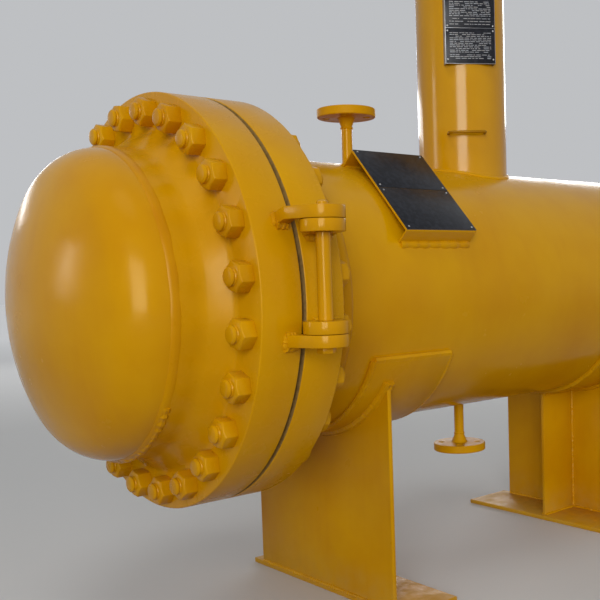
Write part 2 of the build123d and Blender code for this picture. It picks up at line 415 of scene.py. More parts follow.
@dataclass
class NodeSheet:
    """A node tree with short ways to add and join nodes."""

    tree: bpy.types.NodeTree

    def feed(self, node: bpy.types.Node, socket: str | int, value: object) -> None:
        """Joins an output to a node's input, or sets the input.

        Args:
            node: The node.
            socket: The input's name or number.
            value: An output, a number, a vector or a colour.
        """
        target = node.inputs[socket]
        if isinstance(value, bpy.types.NodeSocket):
            self.tree.links.new(value, target)
        else:
            target.default_value = (*value, 1.0) if target.type == "RGBA" else value

    def fill(self, node: bpy.types.Node, **sockets: object) -> None:
        """Feeds inputs by their names, with _ for a space."""
        for key, value in sockets.items():
            self.feed(node, key.replace("_", " "), value)

    def add(self, kind: str, settings: dict | None = None, **sockets: object) -> bpy.types.Node:
        """Adds a shader node.

        Args:
            kind: The node's type, without its first words.
            settings: Its properties.
            sockets: What its inputs get, by name, with _ for a space.

        Returns:
            The new node.
        """
        node = self.tree.nodes.new(f"ShaderNode{kind}")
        for key, value in (settings or {}).items():
            setattr(node, key, value)
        self.fill(node, **sockets)
        return node

    def place(self) -> Socket:
        """The object's own coordinates."""
        return self.add("TexCoord").outputs["Object"]

    def height(self, vector: Socket) -> Socket:
        """The upward share of a vector."""
        return self.add("SeparateXYZ", Vector=vector).outputs["Z"]

    def stretched(self, place: Socket, scale: Colour) -> Socket:
        """Coordinates with a scale for each axis."""
        return self.add("Mapping", Vector=place, Scale=scale).outputs["Vector"]

    def noise(self, place: Socket, scale: float, detail: float = 3.0) -> Socket:
        """A noise pattern."""
        values = {"Scale": scale, "Detail": detail, "Roughness": 0.55, "Vector": place}
        return self.add("TexNoise", **values).outputs["Fac"]

    def remap(self, value: Socket, given: tuple, wanted: Span) -> Socket:
        """Maps a value from one range to another, with its ends held."""
        ends = {"From_Min": given[0], "From_Max": given[1], "To_Min": wanted[0], "To_Max": wanted[1]}
        return self.add("MapRange", {"clamp": True}, Value=value, **ends).outputs["Result"]

    def maths(self, operation: str, *values: object, clamp: bool = False) -> Socket:
        """Reckons with numbers and outputs.

        Args:
            operation: What is done.
            values: The numbers and outputs in order.
            clamp: Whether the result is held between 0 and 1.

        Returns:
            The result.
        """
        node = self.add("Math", {"operation": operation, "use_clamp": clamp})
        for index, value in enumerate(values):
            self.feed(node, index, value)
        return node.outputs["Value"]

    def blend(self, amount: Socket, first: object, second: object) -> Socket:
        """Mixes two colours.

        Args:
            amount: The share of the second colour.
            first: A colour or the output of one.
            second: A colour or the output of one.

        Returns:
            The mixed colour.
        """
        node = self.add("Mix", {"data_type": "RGBA"}, Factor=amount)
        for socket, colour in ((6, first), (7, second)):
            self.feed(node, socket, colour)
        return node.outputs[2]

    def effect(self, group: bpy.types.NodeTree, **values: object) -> bpy.types.bpy_prop_collection:
        """Places a shared effect and gives its outputs."""
        return self.add("Group", {"node_tree": group}, **values).outputs

    def bump(self, height: Socket, strength: float, depth: float) -> Socket:
        """A normal from a height."""
        values = {"Height": height, "Strength": strength, "Distance": depth}
        return self.add("Bump", **values).outputs["Normal"]


def shared_group(
    name: str, inputs: dict[str, str], outputs: dict[str, str]
) -> tuple[NodeSheet, bpy.types.bpy_prop_collection, bpy.types.Node]:
    """Starts a node group with named sockets.

    Args:
        name: The group's name.
        inputs: Its inputs and their socket types.
        outputs: Its outputs and their socket types.

    Returns:
        The sheet of the group, what it is given and its output node.
    """
    tree = bpy.data.node_groups.new(name, "ShaderNodeTree")
    for direction, sockets in (("INPUT", inputs), ("OUTPUT", outputs)):
        for socket, kind in sockets.items():
            kind = f"NodeSocket{kind}"
            tree.interface.new_socket(name=socket, in_out=direction, socket_type=kind)
    given = tree.nodes.new("NodeGroupInput").outputs
    return NodeSheet(tree), given, tree.nodes.new("NodeGroupOutput")


@cache
def enamel_group() -> bpy.types.NodeTree:
    """Builds the effect of brushed and sprayed enamel: clouding, runs and an uneven skin.

    Returns:
        The group.
    """
    sheet, given, result = shared_group(
        "enamel_skin",
        {"Colour": "Color", "Deep": "Color", "Cloud": "Float", "Gloss": "Float"},
        {"Colour": "Color", "Roughness": "Float", "Height": "Float"},
    )
    place = sheet.place()
    broad = sheet.remap(sheet.noise(place, scale=3.2, detail=4.0), (0.38, 0.68), (0.0, 1.0))
    upright = sheet.stretched(place, (26.0, 26.0, 2.4))
    runs = sheet.remap(sheet.noise(upright, scale=1.0, detail=2.0), (0.52, 0.75), (0.0, 0.6))
    streaked = sheet.maths("MULTIPLY_ADD", runs, 0.35, broad)
    share = sheet.maths("MULTIPLY", streaked, given["Cloud"], clamp=True)
    smear = sheet.remap(sheet.noise(place, scale=14.0, detail=5.0), (0.3, 0.7), (0.0, 0.16))
    wave = sheet.noise(place, scale=16.0, detail=2.0)
    peel = sheet.noise(place, scale=420.0, detail=2.0)
    sheet.fill(
        result,
        Colour=sheet.blend(share, given["Colour"], given["Deep"]),
        Roughness=sheet.maths("ADD", smear, given["Gloss"]),
        Height=sheet.maths("MULTIPLY_ADD", peel, 0.06, wave),
    )
    return sheet.tree


@cache
def dust_group() -> bpy.types.NodeTree:
    """Builds the effect of dust that settles on faces that look up and near the ground.

    Returns:
        The group.
    """
    sheet, given, result = shared_group(
        "settled_dust",
        {"Colour": "Color", "Dust": "Color", "Amount": "Float", "Ground Reach": "Float"},
        {"Colour": "Color", "Mask": "Float"},
    )
    normal = sheet.add("NewGeometry").outputs["Normal"]
    facing_up = sheet.remap(sheet.height(normal), (0.55, 1.0), (0.0, 1.0))
    place = sheet.place()
    low = sheet.remap(sheet.height(place), (0.0, given["Ground Reach"]), (1.0, 0.0))
    patches = sheet.remap(sheet.noise(place, scale=38.0, detail=6.0), (0.35, 0.75), (0.15, 1.0))
    settled = sheet.maths("MULTIPLY", sheet.maths("MAXIMUM", facing_up, low), patches)
    mask = sheet.maths("MULTIPLY", settled, given["Amount"], clamp=True)
    sheet.fill(result, Colour=sheet.blend(mask, given["Colour"], given["Dust"]), Mask=mask)
    return sheet.tree


@cache
def tool_mark_group() -> bpy.types.NodeTree:
    """Builds the effect of rubbed bare metal: fine scratches and dull spots.

    Returns:
        The group.
    """
    sheet, given, result = shared_group(
        "rubbed_metal",
        {"Colour": "Color", "Stain": "Color", "Gloss": "Float"},
        {"Colour": "Color", "Roughness": "Float", "Height": "Float"},
    )
    place = sheet.place()
    spots = sheet.remap(sheet.noise(place, scale=90.0, detail=5.0), (0.42, 0.66), (0.0, 1.0))
    scratches = sheet.noise(sheet.stretched(place, (1.0, 9.0, 9.0)), scale=260.0)
    sheet.fill(
        result,
        Colour=sheet.blend(spots, given["Colour"], given["Stain"]),
        Roughness=sheet.maths("MULTIPLY_ADD", scratches, 0.25, given["Gloss"]),
        Height=scratches,
    )
    return sheet.tree


@dataclass(frozen=True)
class Finish:
    """A finish with a Principled surface of its own."""

    name: str

    def start(self) -> tuple[bpy.types.Material, NodeSheet, bpy.types.Node]:
        """Starts the material.

        Returns:
            The material, its sheet and its surface node.
        """
        material = bpy.data.materials.new(self.name)
        material.use_nodes = True
        tree = material.node_tree
        return material, NodeSheet(tree), tree.nodes["Principled BSDF"]


@dataclass(frozen=True)
class Enamel(Finish):
    """Glossy yellow enamel over steel."""

    colour: Colour = (0.61, 0.308, 0.0006)
    deep: Colour = (0.48, 0.190, 0.0004)
    dust: Colour = (0.46, 0.33, 0.12)
    shine: Colour = (1.0, 0.84, 0.50)
    index: float = 1.36
    specular: float = 0.40
    cloud: float = 0.5
    gloss: float = 0.12
    dust_amount: float = 0.06
    ground_reach: float = 0.001
    skin_strength: float = 0.35
    skin_depth: float = 0.0011

    @cache
    def material(self) -> bpy.types.Material:
        """Builds the material once, from the shared effects.

        Returns:
            The material.
        """
        material, sheet, surface = self.start()
        skin = sheet.effect(
            enamel_group(), Colour=self.colour, Deep=self.deep, Cloud=self.cloud, Gloss=self.gloss
        )
        dusty = sheet.effect(
            dust_group(), Colour=skin["Colour"], Dust=self.dust, Amount=self.dust_amount,
            Ground_Reach=self.ground_reach,
        )
        sheet.fill(
            surface,
            Base_Color=dusty["Colour"],
            Roughness=sheet.maths("ADD", skin["Roughness"], dusty["Mask"], clamp=True),
            IOR=self.index,
            Specular_IOR_Level=self.specular,
            Specular_Tint=self.shine,
            Normal=sheet.bump(skin["Height"], self.skin_strength, self.skin_depth),
        )
        return material


@dataclass(frozen=True)
class BareMetal(Finish):
    """Bare or plated metal with fine scratches."""

    colour: Colour = (0.55, 0.55, 0.56)
    stain: Colour = (0.30, 0.28, 0.26)
    gloss: float = 0.22
    metallic: float = 1.0
    specular: float = 0.5
    scratch_strength: float = 0.25
    scratch_depth: float = 0.0002

    @cache
    def material(self) -> bpy.types.Material:
        """Builds the material once, from the shared effects.

        Returns:
            The material.
        """
        material, sheet, surface = self.start()
        metal = sheet.effect(
            tool_mark_group(), Colour=self.colour, Stain=self.stain, Gloss=self.gloss
        )
        sheet.fill(
            surface,
            Base_Color=metal["Colour"],
            Roughness=metal["Roughness"],
            Metallic=self.metallic,
            Specular_IOR_Level=self.specular,
            Normal=sheet.bump(metal["Height"], self.scratch_strength, self.scratch_depth),
        )
        return material


@dataclass(frozen=True)
class BlackPlate(Finish):
    """Satin black of an etched plate, with dust and faint rubbing."""

    colour: Colour = (0.0075, 0.0085, 0.012)
    rubbed: Colour = (0.018, 0.020, 0.027)
    dust: Colour = (0.16, 0.16, 0.17)
    gloss: float = 0.20
    specular: float = 0.22
    dust_amount: float = 0.03
    ground_reach: float = 0.001
    scratch_strength: float = 0.1
    scratch_depth: float = 0.0001

    @cache
    def material(self) -> bpy.types.Material:
        """Builds the material once, from the shared effects.

        Returns:
            The material.
        """
        material, sheet, surface = self.start()
        metal = sheet.effect(
            tool_mark_group(), Colour=self.colour, Stain=self.rubbed, Gloss=self.gloss
        )
        dusty = sheet.effect(
            dust_group(), Colour=metal["Colour"], Dust=self.dust, Amount=self.dust_amount,
            Ground_Reach=self.ground_reach,
        )
        sheet.fill(
            surface,
            Base_Color=dusty["Colour"],
            Roughness=metal["Roughness"],
            Specular_IOR_Level=self.specular,
            Normal=sheet.bump(metal["Height"], self.scratch_strength, self.scratch_depth),
        )
        return material


class Look(Enum):
    """The finishes of the object."""

    SHELL = Enamel("shell_enamel")
    FLANGE = Enamel("flange_enamel", cloud=0.4, gloss=0.18, dust_amount=0.03, skin_depth=0.0008)
    WELD = Enamel("weld_enamel", cloud=0.8, gloss=0.24, skin_depth=0.0016)
    SADDLE = Enamel("saddle_enamel", cloud=0.7, gloss=0.26, dust_amount=0.4, ground_reach=0.1)
    NUTS = Enamel("nut_enamel", cloud=0.6, gloss=0.2, skin_depth=0.0006)
    HINGE = Enamel("hinge_enamel", gloss=0.09, skin_depth=0.0005)
    NOZZLE = Enamel("nozzle_enamel", index=1.30, gloss=0.40, dust_amount=0.0)
    COLUMN = Enamel(
        "column_enamel", colour=(0.565, 0.285, 0.0006), deep=(0.45, 0.178, 0.0004),
        shine=(1.0, 0.95, 0.86), index=1.45, gloss=0.07, skin_depth=0.0008,
    )
    # Darker, browner enamel for the bar: painted shade that stands in for the shadows along its
    # edges.
    BAR = Enamel("bar_enamel_painted_shade", colour=(0.40, 0.19, 0.001), deep=(0.20, 0.08, 0.001), cloud=1.0)
    PLATE = BlackPlate("black_plate")
    ETCHED = BareMetal("etched_bare_metal", colour=(0.30, 0.31, 0.33), gloss=0.3)
    RIVET = BareMetal("bright_rivet_metal", colour=(0.50, 0.50, 0.50))
    GASKET = BareMetal("wound_gasket_metal", colour=(0.14, 0.10, 0.07), gloss=0.4)
    BARE = BareMetal(
        "unpainted_steel", colour=(0.28, 0.17, 0.05), stain=(0.19, 0.112, 0.034), gloss=0.6,
        metallic=0.0, specular=0.2,
    )


def add_piece(
    name: str,
    bm: Mesh,
    look: Look,
    node: str | None = None,
    bare: Look | None = None,
    body: Body = Body.VESSEL,
) -> None:
    """Turns a mesh into a finished piece that rides on its body.

    Args:
        name: The piece's name.
        bm: Its mesh, in place. It is freed.
        look: Its finish.
        node: The CAD node that it is shown in place of.
        bare: The finish of the faces that were marked as unpainted.
        body: The body that it rides on.
    """
    mesh = bpy.data.meshes.new(name)
    bm.to_mesh(mesh)
    bm.free()
    mesh.shade_smooth()
    mesh.set_sharp_from_angle(angle=SHARP_ANGLE)
    for finish in (look, bare):
        if finish is not None:
            mesh.materials.append(finish.value.material())
    piece = bpy.data.objects.new(name, mesh)
    bpy.context.scene.collection.objects.link(piece)
    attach(piece, body.value)
    if node is not None:
        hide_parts(node)
    LOG.info("%s: %d faces on %s", name, len(mesh.polygons), body.value)


# Sizes and weld beads that the sub-assemblies share


@dataclass(frozen=True)
class VesselSizes:
    """Sizes and stations that several sub-assemblies share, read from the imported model."""

    axis_height: float
    shell_radius: float
    flange_radius: float
    cover_rim_front: float
    cover_rim_back: float
    shell_rim_front: float
    shell_rim_back: float
    joint_x: float
    stud_circle: float = 0.375
    stud_count: int = 24

    @classmethod
    def read(cls, rim: float = 0.084, raised: float = 0.002) -> VesselSizes:
        """Reads the boxes of the nodes.

        Args:
            rim: The thickness of a closure flange's rim.
            raised: How far its joint face stands proud.

        Returns:
            The sizes.
        """
        flange_low, flange_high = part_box("shell_flange")
        shell_low, shell_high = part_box("shell")
        cover_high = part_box("cover_flange")[1]
        return cls(
            axis_height=(flange_low.z + flange_high.z) * HALF,
            shell_radius=(shell_high.y - shell_low.y) * HALF,
            flange_radius=(flange_high.y - flange_low.y) * HALF,
            cover_rim_front=cover_high.x - raised - rim,
            cover_rim_back=cover_high.x - raised,
            shell_rim_front=flange_low.x + raised,
            shell_rim_back=flange_low.x + raised + rim,
            joint_x=middle_x("gasket"),
        )

    def on_axis(self, x: float) -> Vector:
        """The point of the vessel's axis at a station."""
        return Vector((x, 0.0, self.axis_height))

    def around(self, x: float, radius: float, turn: float) -> Vector:
        """A point at a radius about the axis, with turn zero at -Y and growing upwards."""
        beside = Vector((0.0, -radius * math.cos(turn), radius * math.sin(turn)))
        return self.on_axis(x) + beside

    def stud_turn(self, index: int) -> float:
        """Where a stud stands on its circle."""
        return (index + HALF) * math.tau / self.stud_count


@dataclass(frozen=True)
class WeldBead:
    """A hand-laid weld: a bead that follows a path, thick and thin by its ripples."""

    radius: float = 0.006
    ripple: float = 0.009
    ripple_depth: float = 0.10
    unevenness: float = 0.16
    wander: float = 0.0010
    step: float = 0.003
    sides: int = 2
    flatten: float = 1.0
    long_wave: float = 0.034
    short_wave: float = 0.013

    def lay(self, path: Callable[[float], Vector], length: float, closed: bool, seed: int) -> Mesh:
        """Lays the bead along a path.

        Args:
            path: Gives the point at a share from 0 to 1 of the way.
            length: The path's rough length.
            closed: Whether the path ends where it starts.
            seed: Sets the bead's own unevenness.

        Returns:
            The bead's mesh.
        """
        draw = random.Random(seed)
        count = max(8, round(length / self.step))
        curve = bpy.data.curves.new("bead", "CURVE")
        curve.dimensions = "3D"
        curve.bevel_depth = self.radius
        curve.bevel_resolution = self.sides
        curve.use_fill_caps = not closed
        spline = curve.splines.new("POLY")
        spline.points.add(count - 1)
        spline.use_cyclic_u = closed
        phases = [draw.uniform(0.0, math.tau) for _ in range(3)]
        for index, point in enumerate(spline.points):
            share = index / count if closed else index / (count - 1)
            along = share * length
            slow = math.sin(along / self.long_wave + phases[0])
            slow += math.sin(along / self.short_wave + phases[1])
            swell = 1.0 + self.ripple_depth * math.sin(along / self.ripple * math.tau)
            swell += self.unevenness * HALF * slow * HALF
            swell += draw.uniform(-HALF, HALF) * self.unevenness * HALF
            drift = Vector([draw.uniform(-self.wander, self.wander) for _ in range(3)])
            point.co = (*(path(share) + drift), 1.0)
            point.radius = swell
        holder = bpy.data.objects.new("bead", curve)
        mesh = bpy.data.meshes.new_from_object(holder)
        bm = bmesh.new()
        bm.from_mesh(mesh)
        bpy.data.objects.remove(holder)
        bpy.data.curves.remove(curve)
        bpy.data.meshes.remove(mesh)
        return close_up(bm)

    def ring(self, sizes: VesselSizes, x: float, radius: float, seed: int) -> Mesh:
        """A bead right round the vessel's axis, as low as its flatten share says.

        Args:
            sizes: The vessel's sizes.
            x: The bead's station.
            radius: The radius of its path.
            seed: Sets its unevenness.

        Returns:
            The bead's mesh.
        """
        bead = self.lay(
            lambda share: sizes.around(x, radius, share * math.tau), math.tau * radius, True, seed
        )
        for vert in bead.verts:
            foot = sizes.on_axis(vert.co.x)
            beside = vert.co - foot
            reach = radius + (beside.length - radius) * self.flatten
            vert.co = foot + beside.normalized() * reach
        return bead

    def arc(self, sizes: VesselSizes, x: float, radius: float, turns: Span, seed: int) -> Mesh:
        """A bead part of the way round the vessel's axis.

        Args:
            sizes: The vessel's sizes.
            x: The bead's station.
            radius: The radius of its path.
            turns: Where it starts and ends.
            seed: Sets its unevenness.

        Returns:
            The bead's mesh.
        """
        start, end = turns
        return self.lay(
            lambda share: sizes.around(x, radius, start + (end - start) * share),
            abs(end - start) * radius,
            False,
            seed,
        )

    def line(self, start: Vector, end: Vector, seed: int) -> Mesh:
        """A straight bead between two points."""
        return self.lay(lambda share: start.lerp(end, share), (end - start).length, False, seed)

    def loop(self, centre: Vector, radius: float, inset: float, seed: int) -> Mesh:
        """A level bead round the end of an upright pipe.

        Args:
            centre: The middle of the pipe's end.
            radius: The pipe's radius.
            inset: How deep the bead's path lies in the pipe.
            seed: Sets the bead's unevenness.

        Returns:
            The bead's mesh.
        """
        reach = radius - inset

        def path(share: float) -> Vector:
            """The point at a share of the way round."""
            turn = share * math.tau
            return centre + Vector((reach * math.cos(turn), reach * math.sin(turn), 0.0))

        return self.lay(path, math.tau * radius, True, seed)

    def foot(self, sizes: VesselSizes, x: float, radius: float, up: float, seed: int) -> Mesh:
        """The bead where an upright pipe meets the round shell.

        Args:
            sizes: The vessel's sizes.
            x: The pipe's station.
            radius: The radius of the bead's path.
            up: +1 for a pipe above the shell and -1 for one below.
            seed: Sets the bead's unevenness.

        Returns:
            The bead's mesh.
        """

        def path(share: float) -> Vector:
            """The point at a share of the way round.

            Args:
                share: The share, from 0 to 1.

            Returns:
                The point.
            """
            turn = share * math.tau
            y = radius * math.sin(turn)
            rise = math.sqrt(sizes.shell_radius**2 - y * y)
            return sizes.on_axis(x + radius * math.cos(turn)) + Vector((0.0, y, up * rise))

        return self.lay(path, math.tau * radius, True, seed)


# Sub-assemblies


@dataclass
class Closure:
    """The two closure flanges, the cover's dished head, the rear head and the gasket."""

    sizes: VesselSizes
    hub_root_radius: float = 0.335
    hub_taper: float = 0.052
    hub_barrel: float = 0.043
    bore_radius: float = 0.285
    raised_face: float = 0.002
    rim_edge: float = 0.0028
    stud_hole: float = 0.0195
    overcut: float = 0.01
    head_radius: float = 0.302
    head_knuckle: float = 0.104
    head_straight: float = 0.003
    rear_straight: float = 0.025
    gasket_inner: float = 0.300
    gasket_outer: float = 0.328
    gasket_thickness: float = 0.0045
    gasket_winds: int = 9
    groove_depth: float = 0.0004
    seam_depth: float = 0.0008
    rough_depth: float = 0.0035
    rough_shift: float = 0.001
    rough_turns: Span = (math.radians(-36.0), math.radians(-112.0))
    seam: WeldBead = WeldBead(
        0.0125, ripple_depth=0.02, unevenness=0.05, wander=0.0002, step=0.008, sides=4, flatten=0.34
    )
    rough_seam: WeldBead = WeldBead(
        0.0095, ripple=0.018, ripple_depth=0.09, unevenness=0.25, wander=0.0005, step=0.004, sides=3
    )

    def flange(self, face_x: float, along: float) -> Mesh:
        """A weld neck flange with its stud holes.

        Args:
            face_x: The station of the rim's joint side.
            along: Which way the hub looks, +1 or -1 along X.

        Returns:
            The flange's mesh.
        """
        sizes = self.sizes
        thick = sizes.cover_rim_back - sizes.cover_rim_front
        root = self.hub_root_radius
        taper_end = thick + self.hub_taper
        outline = [
            (-self.raised_face, self.bore_radius),
            (-self.raised_face, root),
            (0.0, root + self.raised_face * HALF),
            (0.0, sizes.flange_radius),
            (thick, sizes.flange_radius),
            (thick, root + 0.010),
            (thick + 0.003, root + 0.003),
            (thick + 0.010, root - 0.002),
            (taper_end - 0.012, sizes.shell_radius + 0.005),
            (taper_end, sizes.shell_radius + 0.0012),
            (taper_end + 0.012, sizes.shell_radius),
            (taper_end + self.hub_barrel, sizes.shell_radius),
            (taper_end + self.hub_barrel, self.bore_radius),
        ]
        axis = X_AXIS * along
        ring = lathe(outline, sizes.on_axis(face_x), axis)

        def on_rim(spot: Vector) -> bool:
            """Whether a point lies on the rim's outer round."""
            return abs((spot - sizes.on_axis(spot.x)).length - sizes.flange_radius) < 1e-5

        rims = [
            e
            for e in ring.edges
            if all(on_rim(v.co) for v in e.verts) and abs(e.verts[0].co.x - e.verts[1].co.x) < 1e-6
        ]
        round_edges(ring, rims, self.rim_edge, 3)
        cutters = []
        for index in range(sizes.stud_count):
            spot = sizes.around(face_x, sizes.stud_circle, sizes.stud_turn(index))
            span = (0.0, thick + 2.0 * self.overcut)
            start = spot - axis * self.overcut
            cutters.append(rod(self.stud_hole, span, start, axis, SMALL_STEPS))
        flange = carve(ring, join(cutters))

        def unpainted(centre: Vector, normal: Vector) -> bool:
            """Whether a face is part of the joint side or the bore.

            Args:
                centre: The face's centre.
                normal: The face's normal.

            Returns:
                True where it is.
            """
            joint_side = normal.x * along < -0.9 and abs(centre.x - face_x) < self.raised_face * 1.5
            beside = centre - sizes.on_axis(centre.x)
            return joint_side or beside.length < self.bore_radius + self.raised_face

        mark_bare(flange, unpainted)
        return flange

    def head(self, start_x: float, radius: float, straight: float, along: float) -> Mesh:
        """A dished head, its inner side unpainted.

        Args:
            start_x: The station where its skirt starts.
            radius: Its outer radius.
            straight: The length of its skirt.
            along: Which way it bulges, +1 or -1 along X.

        Returns:
            The head's mesh.
        """
        middle = self.sizes.on_axis(start_x)
        end = DishedEnd(radius, radius - self.bore_radius, self.head_knuckle, straight)
        dished = end.solid(middle, X_AXIS * along)
        mark_bare(dished, lambda spot, normal: normal.dot(spot - middle) < 0.0)
        return dished

    def gasket(self) -> Mesh:
        """The wound ring in the joint, with the ridges of its windings.

        Returns:
            The ring's mesh.
        """
        half = self.gasket_thickness * HALF
        pitch = (self.gasket_outer - self.gasket_inner) / self.gasket_winds
        groove = half - self.groove_depth
        front = []
        for wind in range(self.gasket_winds):
            start = self.gasket_inner + wind * pitch
            front += [(groove, start), (half, start + pitch * 0.3), (half, start + pitch * 0.7)]
        front.append((groove, self.gasket_outer))
        back = [(-height, radius) for height, radius in reversed(front)]
        return lathe(front + back, self.sizes.on_axis(self.sizes.joint_x), X_AXIS)

    def build(self) -> None:
        """Builds the flanges, both heads, the gasket and the seams between them."""
        sizes = self.sizes
        weld_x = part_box("cover_flange")[0].x
        rear_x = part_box("rear_head")[0].x
        shell_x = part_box("shell")[0].x
        for side, face_x, along, body in (
            ("cover", sizes.cover_rim_back, -1.0, Body.COVER),
            ("shell", sizes.shell_rim_front, 1.0, Body.VESSEL),
        ):
            add_piece(
                f"closure_{side}_flange", self.flange(face_x, along), Look.FLANGE,
                f"{side}_flange", Look.BARE, body,
            )
        head = self.head(weld_x, self.head_radius, self.head_straight, -1.0)
        add_piece(
            "closure_dished_head", head, Look.SHELL, "cover_head", Look.BARE, Body.COVER
        )
        head = self.head(rear_x, sizes.shell_radius, self.rear_straight, 1.0)
        add_piece("rear_dished_head", head, Look.SHELL, "rear_head", Look.BARE)
        add_piece("joint_gasket", self.gasket(), Look.GASKET, "gasket")
        radius = self.head_radius
        rough_x = weld_x + self.rough_shift
        cover_seams = [
            self.seam.ring(sizes, weld_x, radius - self.seam_depth, 11),
            self.rough_seam.arc(sizes, rough_x, radius - self.rough_depth, self.rough_turns, 14),
        ]
        add_piece(
            "cover_head_seam", join(cover_seams), Look.WELD, body=Body.COVER
        )
        depth = sizes.shell_radius - self.seam_depth
        seams = [self.seam.ring(sizes, x, depth, seed) for x, seed in ((shell_x, 12), (rear_x, 13))]
        add_piece("shell_ring_seams", join(seams), Look.WELD)


@dataclass
class StudBolts:
    """The stud bolts of the closure, each parted at the joint, with a nut at either end."""

    sizes: VesselSizes
    stud_radius: float = 0.0168
    stand: float = 0.039
    nut_flats: float = 0.050
    nut_height: float = 0.029
    nut_edge: float = 0.0011
    face_share: float = 0.90
    corner_spare: float = 1.1
    crown_fall: float = math.radians(30.0)
    thread_pitch: float = 0.004
    thread_depth: float = 0.0014
    end_chamfer: float = 0.003
    end_edge: float = 0.0004
    end_step: float = 0.001
    stud_steps: int = 32
    usual_turn: float = math.radians(16.0)
    turn_scatter: float = math.radians(9.0)

    def nut(self) -> Mesh:
        """One hexagon nut at the origin, its outer face up along Z.

        Returns:
            The nut's mesh.
        """
        prism = hexagon(self.nut_flats, self.nut_height, Vector())
        corner = self.nut_flats / math.sqrt(3.0) * self.corner_spare
        flat_radius = self.nut_flats * HALF * self.face_share
        fall = (corner - flat_radius) * math.tan(self.crown_fall)
        foot = -0.001
        envelope = [
            (foot, 0.0),
            (foot, corner),
            (self.nut_height - fall, corner),
            (self.nut_height, flat_radius),
            (self.nut_height, 0.0),
        ]
        nut = carve(prism, lathe(envelope, Vector(), Z_AXIS, SMALL_STEPS), Cut.KEEP_COMMON)
        bmesh.ops.dissolve_limit(nut, angle_limit=FLAT_ANGLE, verts=nut.verts, edges=nut.edges)
        soften(nut, self.nut_edge, angle=math.radians(40.0))
        return nut

    def stud(self, length: float) -> Mesh:
        """One stud half at the origin, from the joint up along Z to its chamfered end.

        Args:
            length: Its length.

        Returns:
            The stud's mesh.
        """
        radius = self.stud_radius
        outline = [(0.0, 0.0)]
        for index in range(round((length - self.end_chamfer) / self.thread_pitch)):
            start = index * self.thread_pitch
            outline.append((start, radius - self.thread_depth))
            outline.append((start + self.thread_pitch * HALF, radius))
        outline += [
            (length - self.end_chamfer, radius),
            (length - self.end_edge, radius - self.end_chamfer),
            (length, radius - self.end_chamfer - self.end_step),
            (length, 0.0),
        ]
        return lathe(outline, Vector(), Z_AXIS, self.stud_steps)

    def side(self, face_x: float, outward: float, seed: int) -> tuple[Mesh, Mesh]:
        """All nuts and stud halves of one flange.

        Args:
            face_x: The station of the face that the nuts sit on.
            outward: Which way they look, +1 or -1 along X.
            seed: Sets how far each nut is turned.

        Returns:
            The mesh of the nuts and the mesh of the stud halves.
        """
        draw = random.Random(seed)
        sizes = self.sizes
        upright = Z_AXIS.rotation_difference(X_AXIS * outward).to_matrix().to_4x4()
        nut = self.nut()
        stud = self.stud(abs(face_x - sizes.joint_x) + self.stand)
        nuts, studs = [], []
        for index in range(sizes.stud_count):
            angle = self.usual_turn + draw.uniform(-self.turn_scatter, self.turn_scatter)
            spin = Matrix.Rotation(angle, 4, X_AXIS) @ upright
            for placed, pattern, x in ((nuts, nut, face_x), (studs, stud, sizes.joint_x)):
                spot = sizes.around(x, sizes.stud_circle, sizes.stud_turn(index))
                piece = pattern.copy()
                place = Matrix.Translation(spot) @ spin
                bmesh.ops.transform(piece, matrix=place, verts=piece.verts)
                placed.append(piece)
        nut.free()
        stud.free()
        return join(nuts), join(studs)

    def build(self) -> None:
        """Builds the nuts and the stud halves of both flanges."""
        sizes = self.sizes
        for name, face_x, outward, body, seed in (
            ("cover", sizes.cover_rim_front, -1.0, Body.COVER, 5),
            ("shell", sizes.shell_rim_back, 1.0, Body.VESSEL, 6),
        ):
            nuts, studs = self.side(face_x, outward, seed)
            inner = abs(face_x - sizes.joint_x)
            mark_bare(studs, lambda spot, normal: abs(spot.x - sizes.joint_x) < inner)
            add_piece(f"{name}_side_nuts", nuts, Look.NUTS, body=body)
            add_piece(
                f"{name}_side_studs", studs, Look.NUTS, bare=Look.BARE, body=body
            )


